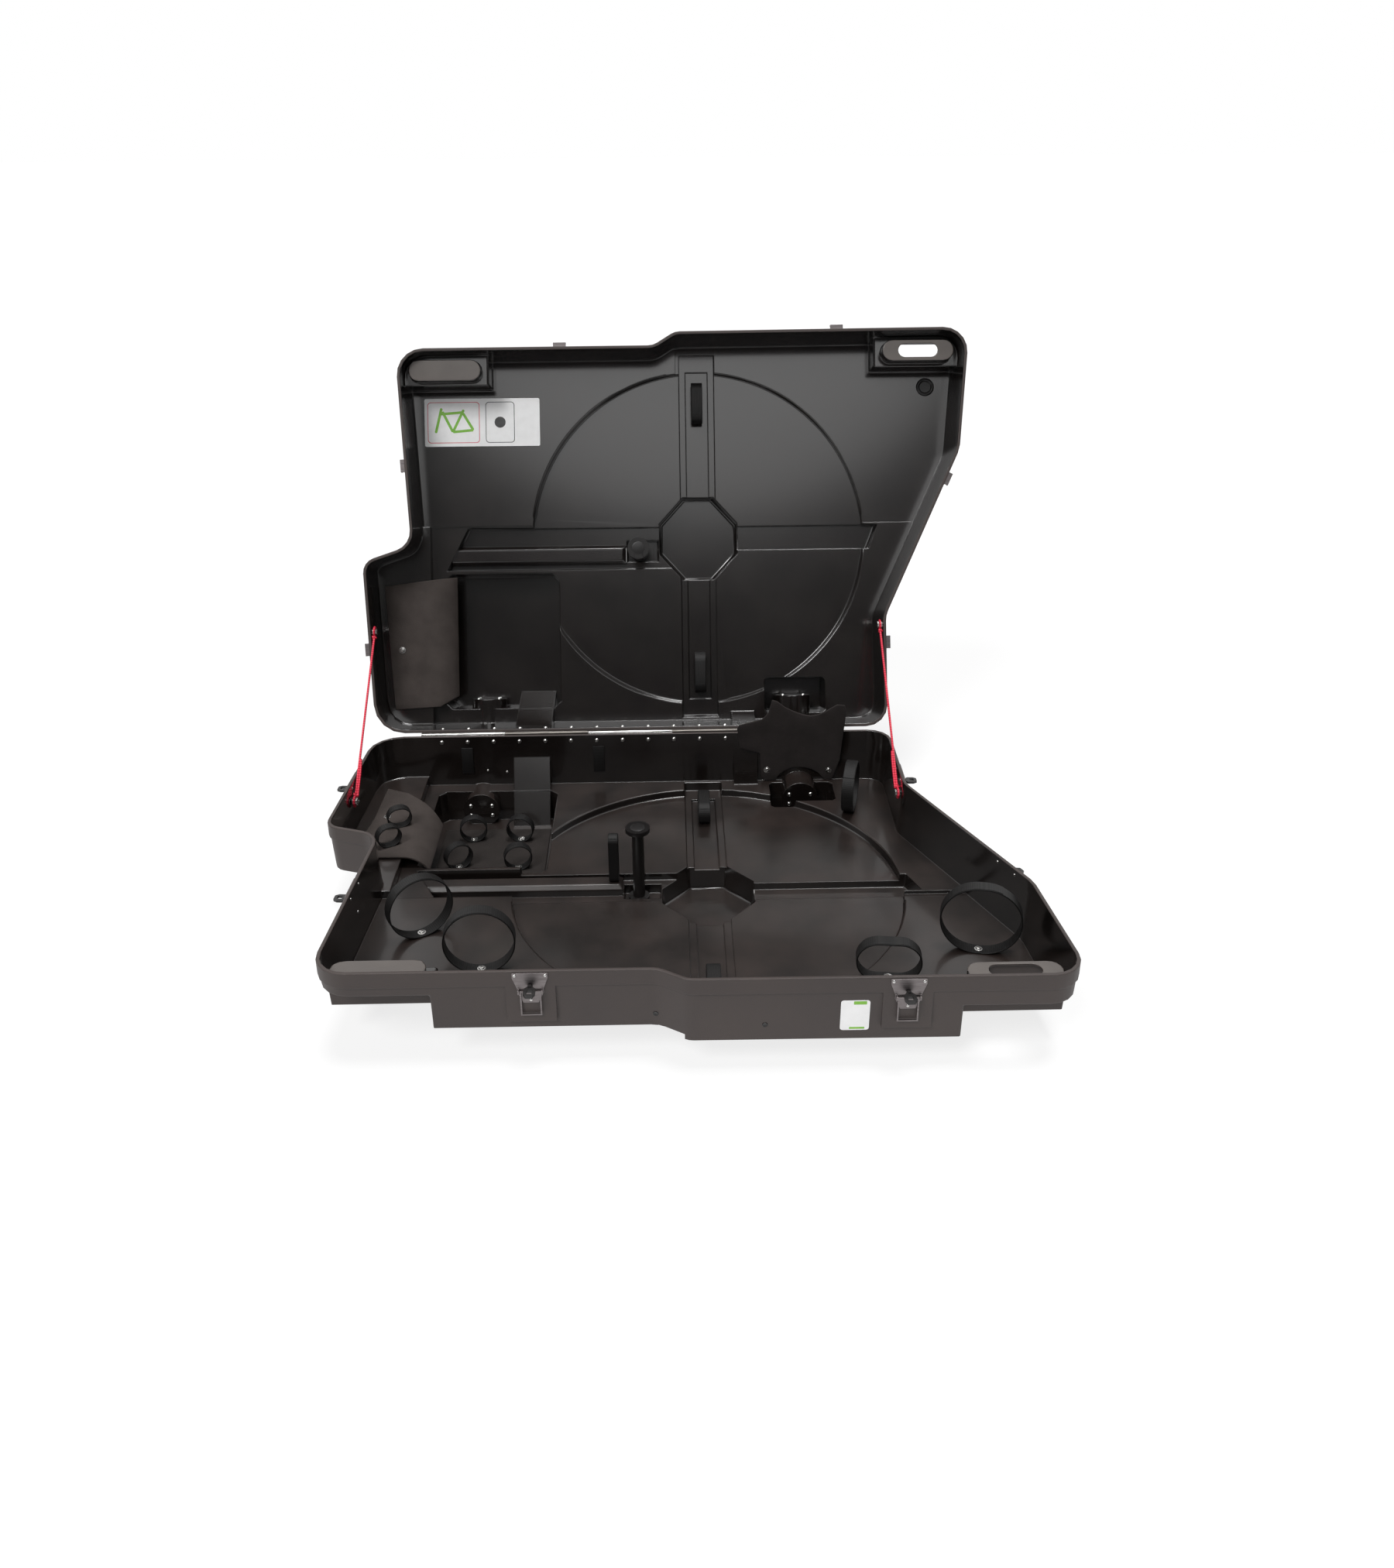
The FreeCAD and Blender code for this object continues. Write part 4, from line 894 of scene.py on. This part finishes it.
RIVET = turned("rivet_head", [(0, 3.6), (2.1, 3.3), (3.8, 2.3), (4.9, 0.9), (5.1, 0), (5.1, -0.8),
                              (0, -0.8)], 16)
SMALL_RIVET = turned("small_rivet_head", [(0, 1.6), (1.4, 1.5), (2.5, 0.9), (3.0, 0.2), (3.0, -0.6),
                                          (0, -0.6)], 12)
SCREW = turned("screw_and_washer", [(0, 0.9), (1.9, 0.9), (2.2, 3.0), (4.2, 2.8), (5.3, 1.5), (5.4, 1.0),
                                    (7.6, 0.9), (7.9, 0.5), (7.9, -0.4), (0, -0.4)], 22)
PLUG = turned("drain_plug", [(0, 0.4), (3.2, 0.4), (3.8, 0.9), (4.6, 0.8), (5.0, 0.1), (5.0, -0.5),
                             (0, -0.5)], 18)
RING = turned("moulded_ring", [(0, 0.7), (13.0, 0.7), (14.2, 2.8), (15.8, 4.0), (18.6, 4.0), (20.6, 2.6),
                               (21.6, -0.4), (0, -0.4)], 40)
CAP = turned("post_inlay", [(0, 0.35), (13.5, 0.35), (14.5, 0.1), (15.0, -0.4), (0, -0.4)], 32)

# Lines toward the hinge that find a wall start at these distances from it
TO_HINGE = (0, -1, 0)
BY_HINGE = 40
BY_WALL = 60
BY_CUPS = 100
BEFORE_CASE = 1000
HINGE_RIVETS = [(-592 + 58.6 * k, 14) for k in range(16)]
# Caster cups as x and depth, and the rivets of a caster plate round the middle of its cup
CUPS = [(-504, 158), (220, 141)]
CUP_RIVETS = [(-24, -12), (-24, 12), (24, -12), (24, 12)]
# Rivets and plugs of the base walls as x and depth
WALL_RIVETS = [(-492, 86), (-448, 90), (-536, 36), (-237, 36)]
DRAIN_PLUGS = [(-103, 96), (81, 99)]
# Screws of the side pads on the foam, as x, distance from the hinge and depth, and those of the guard sheet on
# its front, as x and depth
PAD_SCREWS = {"base": (-686, 202, 94.0), "lid": (-697, 192, 94.0)}
GUARD_SCREWS = [(148, 92), (289, 96)]
GUARD_FRONT = 21.2
# Latch stations: the ends of the wall that a latch sits on, and how far along it
LATCHES = {
    "front_left": ((-684, 876), (-100, 878), 0.637),
    "front_right": ((-50, 909), (622, 914), 0.548),
    "left_front": ((-655, 432), (-684, 876), 0.405),
    "left_rear": ((-742, 4.6), (-766, 395), 0.49),
    "right_front": ((597, 636), (424, 258), 0.175),
    "right_rear": ((424, 258), (426, 4.6), 0.24),
}
# Rivets of a latch on its plate, of its back on the inner face and of its keeper, along the wall and up it
PLATE_RIVETS = [(-25.5, -8), (25.5, -8), (0, -57)]
BACK_RIVETS = [(-25.5, -12), (25.5, -12), (0, -57)]
KEEPER_RIVETS = [(-9, -22), (9, -22)]
PLATE_FACE = 2.0
BACK_START = -40
# The plug in the floor of the lid is found from this point, and the top of a post is at this one
RING_START = (543, 799, 60)
POST_TOP = (-140, 419, 0.6)


def fasteners(name, mesh, places, half, slot="steel", finish=STEEL, degrees=50):
    """One piece with a copy of a turned mesh at each place."""
    smooth(piece(name, stamped(mesh, places), half, slot, [finish]), degrees)


def latch_frame(half, station):
    """A frame on the wall at a latch: X along the wall, Y up to the rim, Z out of the case."""
    (x0, s0), (x1, s1), share = LATCHES[station]
    place = at(half, x0 + (x1 - x0) * share, s0 + (s1 - s0) * share, 0)
    along = way(half, x1 - x0, s1 - s0, 0)
    up = way(half, 0, 0, -1)
    out = along.cross(up)
    if out.dot(place - at(half, 0, HUB_FROM_HINGE, 0)) < 0:
        along = -along
        out = -out
    return Matrix.Translation(place) @ Matrix((along, up, out)).transposed().to_4x4()


def on_plates(half, spots):
    """Frames on the plates of all the latches of a half."""
    return [latch_frame(half, station) @ Matrix.Translation((x / 1000, y / 1000, PLATE_FACE / 1000))
            for station in LATCHES for x, y in spots]


def behind_latches():
    """Frames on the inner face of the wall behind all the latches."""
    found = []
    for station in LATCHES:
        wall = latch_frame("base", station)
        out = wall.to_3x3() @ Vector((0, 0, 1))
        for x, y in BACK_RIVETS:
            hit = SKIN["base"].ray_cast(wall @ Vector((x / 1000, y / 1000, BACK_START / 1000)), out)[0]
            found.append(facing(hit, -out))
    return found


for half in HALF:
    row = [seat(half, (x, BY_HINGE, depth), TO_HINGE) for x, depth in HINGE_RIVETS]
    fasteners(f"hinge_rivets_{half}", RIVET, row, half)
    heads = [seat(half, (x + a, BY_CUPS, depth + b), TO_HINGE) for x, depth in CUPS for a, b in CUP_RIVETS]
    fasteners(f"caster_rivets_{half}", RIVET, heads, half)

screws = [stand("base", x, s, depth - SEAT_GAP - WEB, turn)
          for name in ("floor_loops", "tool_loops") for x, s, depth, turn, *_ in LOOPS[name][1]]
screws.append(stand("base", *PAD_SCREWS["base"]))
screws += [facing(at("base", x, GUARD_FRONT, depth), way("base", 0, 1, 0)) for x, depth in GUARD_SCREWS]
fasteners("screws_base", SCREW, screws, "base", degrees=40)
fasteners("screws_lid", SCREW, [stand("lid", *PAD_SCREWS["lid"])], "lid", degrees=40)
fasteners("latch_rivets", SMALL_RIVET, on_plates("base", PLATE_RIVETS), "base")
fasteners("latch_inner_rivets", SMALL_RIVET, behind_latches(), "base")
fasteners("keeper_rivets", SMALL_RIVET, on_plates("lid", KEEPER_RIVETS), "lid")
wall_heads = [seat("base", (x, BY_WALL, depth), TO_HINGE) for x, depth in WALL_RIVETS]
fasteners("wall_rivets_base", SMALL_RIVET, wall_heads, "base")
plugs = [seat("base", (x, BEFORE_CASE, depth), TO_HINGE) for x, depth in DRAIN_PLUGS]
fasteners("drain_plugs", PLUG, plugs, "base", "post", SATIN)
fasteners("lid_moulded_ring", RING, [seat("lid", RING_START, (0, 0, 1))], "lid", "shell", SATIN, 40)
for half in HALF:
    fasteners(f"post_inlay_{half}", CAP, [stand(half, *POST_TOP)], half, "post", BLACK, 40)


# Labels, left without words, in metres

# Films lie on each other, so each has its own height; the bars cross, so each is a step higher
FILM = 0.0003
BOX_FILM = 0.0005
FIELD_FILM = 0.0007
BAR_FILM = 0.0008
BAR_STEP = 0.00002
DOT_FILM = 0.0009
BAND_FILM = 0.0005
# Boxes on the lid's label: place along it, width and ink, with the border that shows round the field
BOXES = {"wide": (-0.067, 0.122, ROSE), "narrow": (0.042, 0.068, INK)}
BOX_HEIGHT = 0.096
BOX_BORDER = 0.003
BAR_WIDTH = 0.006
DOT_WIDTH = 0.026
# A plain drawing in bars: both ends of each, in millimetres from the middle of the wide box
BARS = [(-30, 20, 24, 24), (-26, 26, -2, -22), (24, 30, -2, -22), (-28, 34, -42, -24), (22, 22, 46, -18),
        (-2, -22, 46, -18)]


def film(name, half, place, width, height, corner, finish, thick=FILM):
    """A sheet of film with round corners, its middle at a place."""
    made = bmesh.new()
    bmesh.ops.create_grid(made, x_segments=1, y_segments=1, size=0.5)
    bmesh.ops.scale(made, verts=made.verts, vec=(width, height, 1))
    bmesh.ops.bevel(made, geom=made.verts[:], offset=corner, offset_type="OFFSET", affect="VERTICES",
                    segments=5, profile=0.5, material=-1)
    top = bmesh.ops.extrude_face_region(made, geom=made.faces[:])["geom"]
    top_corners = [item for item in top if isinstance(item, bmesh.types.BMVert)]
    bmesh.ops.translate(made, verts=top_corners, vec=(0, 0, thick))
    bmesh.ops.recalc_face_normals(made, faces=made.faces)
    bmesh.ops.transform(made, matrix=place, verts=made.verts)
    piece(name, made, half, "shell", [finish])


def on_film(place, x, y=0.0):
    """A frame shifted along a label."""
    return place @ Matrix.Translation((x, y, 0))


label = stand("lid", -505, 725, 117)
film("lid_label", "lid", label, 0.270, 0.112, 0.004, PAPER)
for name, (x, width, ink) in BOXES.items():
    box = on_film(label, x)
    film(f"lid_label_box_{name}", "lid", box, width, BOX_HEIGHT, 0.008, ink, BOX_FILM)
    film(f"lid_label_box_{name}_field", "lid", box, width - BOX_BORDER, BOX_HEIGHT - BOX_BORDER, 0.007, PAPER,
         FIELD_FILM)
for index, (x0, y0, x1, y1) in enumerate(BARS):
    middle = on_film(label, BOXES["wide"][0] + (x0 + x1) / 2000, (y0 + y1) / 2000)
    turn = Matrix.Rotation(math.atan2(y1 - y0, x1 - x0), 4, "Z")
    film(f"lid_label_bar_{index}", "lid", middle @ turn, math.hypot(x1 - x0, y1 - y0) / 1000, BAR_WIDTH, 0.0025,
         GREEN, BAR_FILM + BAR_STEP * index)
film("lid_label_dot", "lid", on_film(label, BOXES["narrow"][0]), DOT_WIDTH, DOT_WIDTH, 0.0128, INK, DOT_FILM)
sticker = seat("base", (232, BEFORE_CASE, 81), TO_HINGE)
film("front_label", "base", sticker, 0.049, 0.064, 0.005, PAPER)
film("front_label_band_top", "base", on_film(sticker, 0.008, 0.0265), 0.022, 0.007, 0.001, GREEN, BAND_FILM)
film("front_label_band_foot", "base", on_film(sticker, 0.004, -0.0275), 0.026, 0.004, 0.001, GREEN, BAND_FILM)


# Camera, fitted to the photograph, in metres and degrees

CAMERA_PLACE = (-0.0675, -2.2377, 1.5521)
CAMERA_PAN = -1.21
CAMERA_DROP = 23.29
CAMERA_ROLL = -0.33

lens = bpy.data.cameras.new("camera")
lens.sensor_width = 36.0
lens.lens = 30.18
lens.shift_y = -0.0852
lens.clip_end = 80.0
camera = bpy.data.objects.new("camera", lens)
bpy.context.scene.collection.objects.link(camera)
aim = (Matrix.Rotation(math.radians(CAMERA_PAN), 4, "Z")
       @ Matrix.Rotation(math.radians(90 - CAMERA_DROP), 4, "X"))
camera.matrix_world = (Matrix.Translation(CAMERA_PLACE) @ aim
                       @ Matrix.Rotation(math.radians(CAMERA_ROLL), 4, "Z"))
bpy.context.scene.camera = camera


# Studio: pale floor, white surroundings and soft lamps

WHITE = (1, 1, 1, 1)
FLOOR_REACH = 30.0
FLOOR_DROP = 0.0005
# How much of the floor glows to the lens; the rest keeps the shadow
FLOOR_GLOW = 0.72
ROOM_LIGHT = 0.07
# The backdrop fades in between these values of Y of a direction
BACKDROP_EDGE = 0.2


def ray_masks(tree):
    """Rays from the lens, and rays that a mirror or a clear piece sends on."""
    rays = add(tree, "ShaderNodeLightPath")
    mirrored = add(tree, "ShaderNodeMath", {}, {0: (rays, "Is Glossy Ray"), 1: (rays, "Is Transmission Ray")},
                   operation="MAXIMUM")
    return (rays, "Is Camera Ray"), (mirrored, "Value")


def studio_floor():
    """A white floor that keeps the shadow and looks white to the lens."""
    made = bmesh.new()
    bmesh.ops.create_grid(made, x_segments=1, y_segments=1, size=FLOOR_REACH)
    bmesh.ops.translate(made, verts=made.verts, vec=(0, 0, -FLOOR_DROP))
    mesh = as_mesh(made, "studio_floor")
    item = bpy.data.objects.new("studio_floor", mesh)
    bpy.context.scene.collection.objects.link(item)
    paint, tree, shader = material("studio_white", Base_Color=linear("#f4f4f4"), Roughness=0.9,
                                   Specular_IOR_Level=0.0)
    seen, mirrored = ray_masks(tree)
    shown = add(tree, "ShaderNodeMath", {}, {0: seen, 1: mirrored}, operation="MAXIMUM")
    share = add(tree, "ShaderNodeMath", {1: FLOOR_GLOW}, {0: (shown, "Value")}, operation="MULTIPLY")
    glow = add(tree, "ShaderNodeEmission", {"Color": WHITE, "Strength": 1.1})
    both = add(tree, "ShaderNodeMixShader", {}, {0: (share, "Value"), 1: (shader, "BSDF"),
                                                 2: (glow, "Emission")})
    tree.links.new(both.outputs["Shader"], tree.nodes["Material Output"].inputs["Surface"])
    mesh.materials.append(paint)


def studio_world():
    """White to the lens; a white backdrop behind the object that metal shows too, and a dim room before it."""
    world = bpy.data.worlds.new("studio")
    bpy.context.scene.world = world
    world.use_nodes = True
    tree = world.node_tree
    tree.nodes.clear()
    seen, mirrored = ray_masks(tree)
    light = add(tree, "ShaderNodeBackground", {"Color": WHITE, "Strength": ROOM_LIGHT})
    white = add(tree, "ShaderNodeBackground", {"Color": WHITE, "Strength": 1.0})
    heading = add(tree, "ShaderNodeTexCoord")
    axes = add(tree, "ShaderNodeSeparateXYZ", {}, {"Vector": (heading, "Generated")})
    backdrop = add(tree, "ShaderNodeMapRange", {"From Min": -BACKDROP_EDGE, "From Max": BACKDROP_EDGE},
                   {"Value": (axes, "Y")})
    reflected = add(tree, "ShaderNodeMath", {}, {0: mirrored, 1: (backdrop, "Result")}, operation="MULTIPLY")
    shown = add(tree, "ShaderNodeMath", {}, {0: seen, 1: (reflected, "Value")}, operation="MAXIMUM")
    both = add(tree, "ShaderNodeMixShader", {}, {0: (shown, "Value"), 1: (light, "Background"),
                                                 2: (white, "Background")})
    add(tree, "ShaderNodeOutputWorld", {}, {"Surface": (both, "Shader")})


def soft_sun(name, source, spread, power):
    """A wide, even lamp far away, so that the whole floor is lit alike."""
    data = bpy.data.lights.new(name, "SUN")
    data.angle = math.radians(spread)
    data.energy = power
    item = bpy.data.objects.new(name, data)
    item.rotation_euler = (-Vector(source)).to_track_quat("-Z", "Y").to_euler()
    bpy.context.scene.collection.objects.link(item)


studio_floor()
studio_world()
soft_sun("key", (-0.55, -0.75, 1.10), 20.0, 1.5)
soft_sun("top", (0.10, 0.0, 1.0), 20.0, 1.9)
soft_sun("sheen", (0.02, -0.80, 0.655), 26.0, 0.27)
bpy.context.scene.view_settings.view_transform = "Standard"
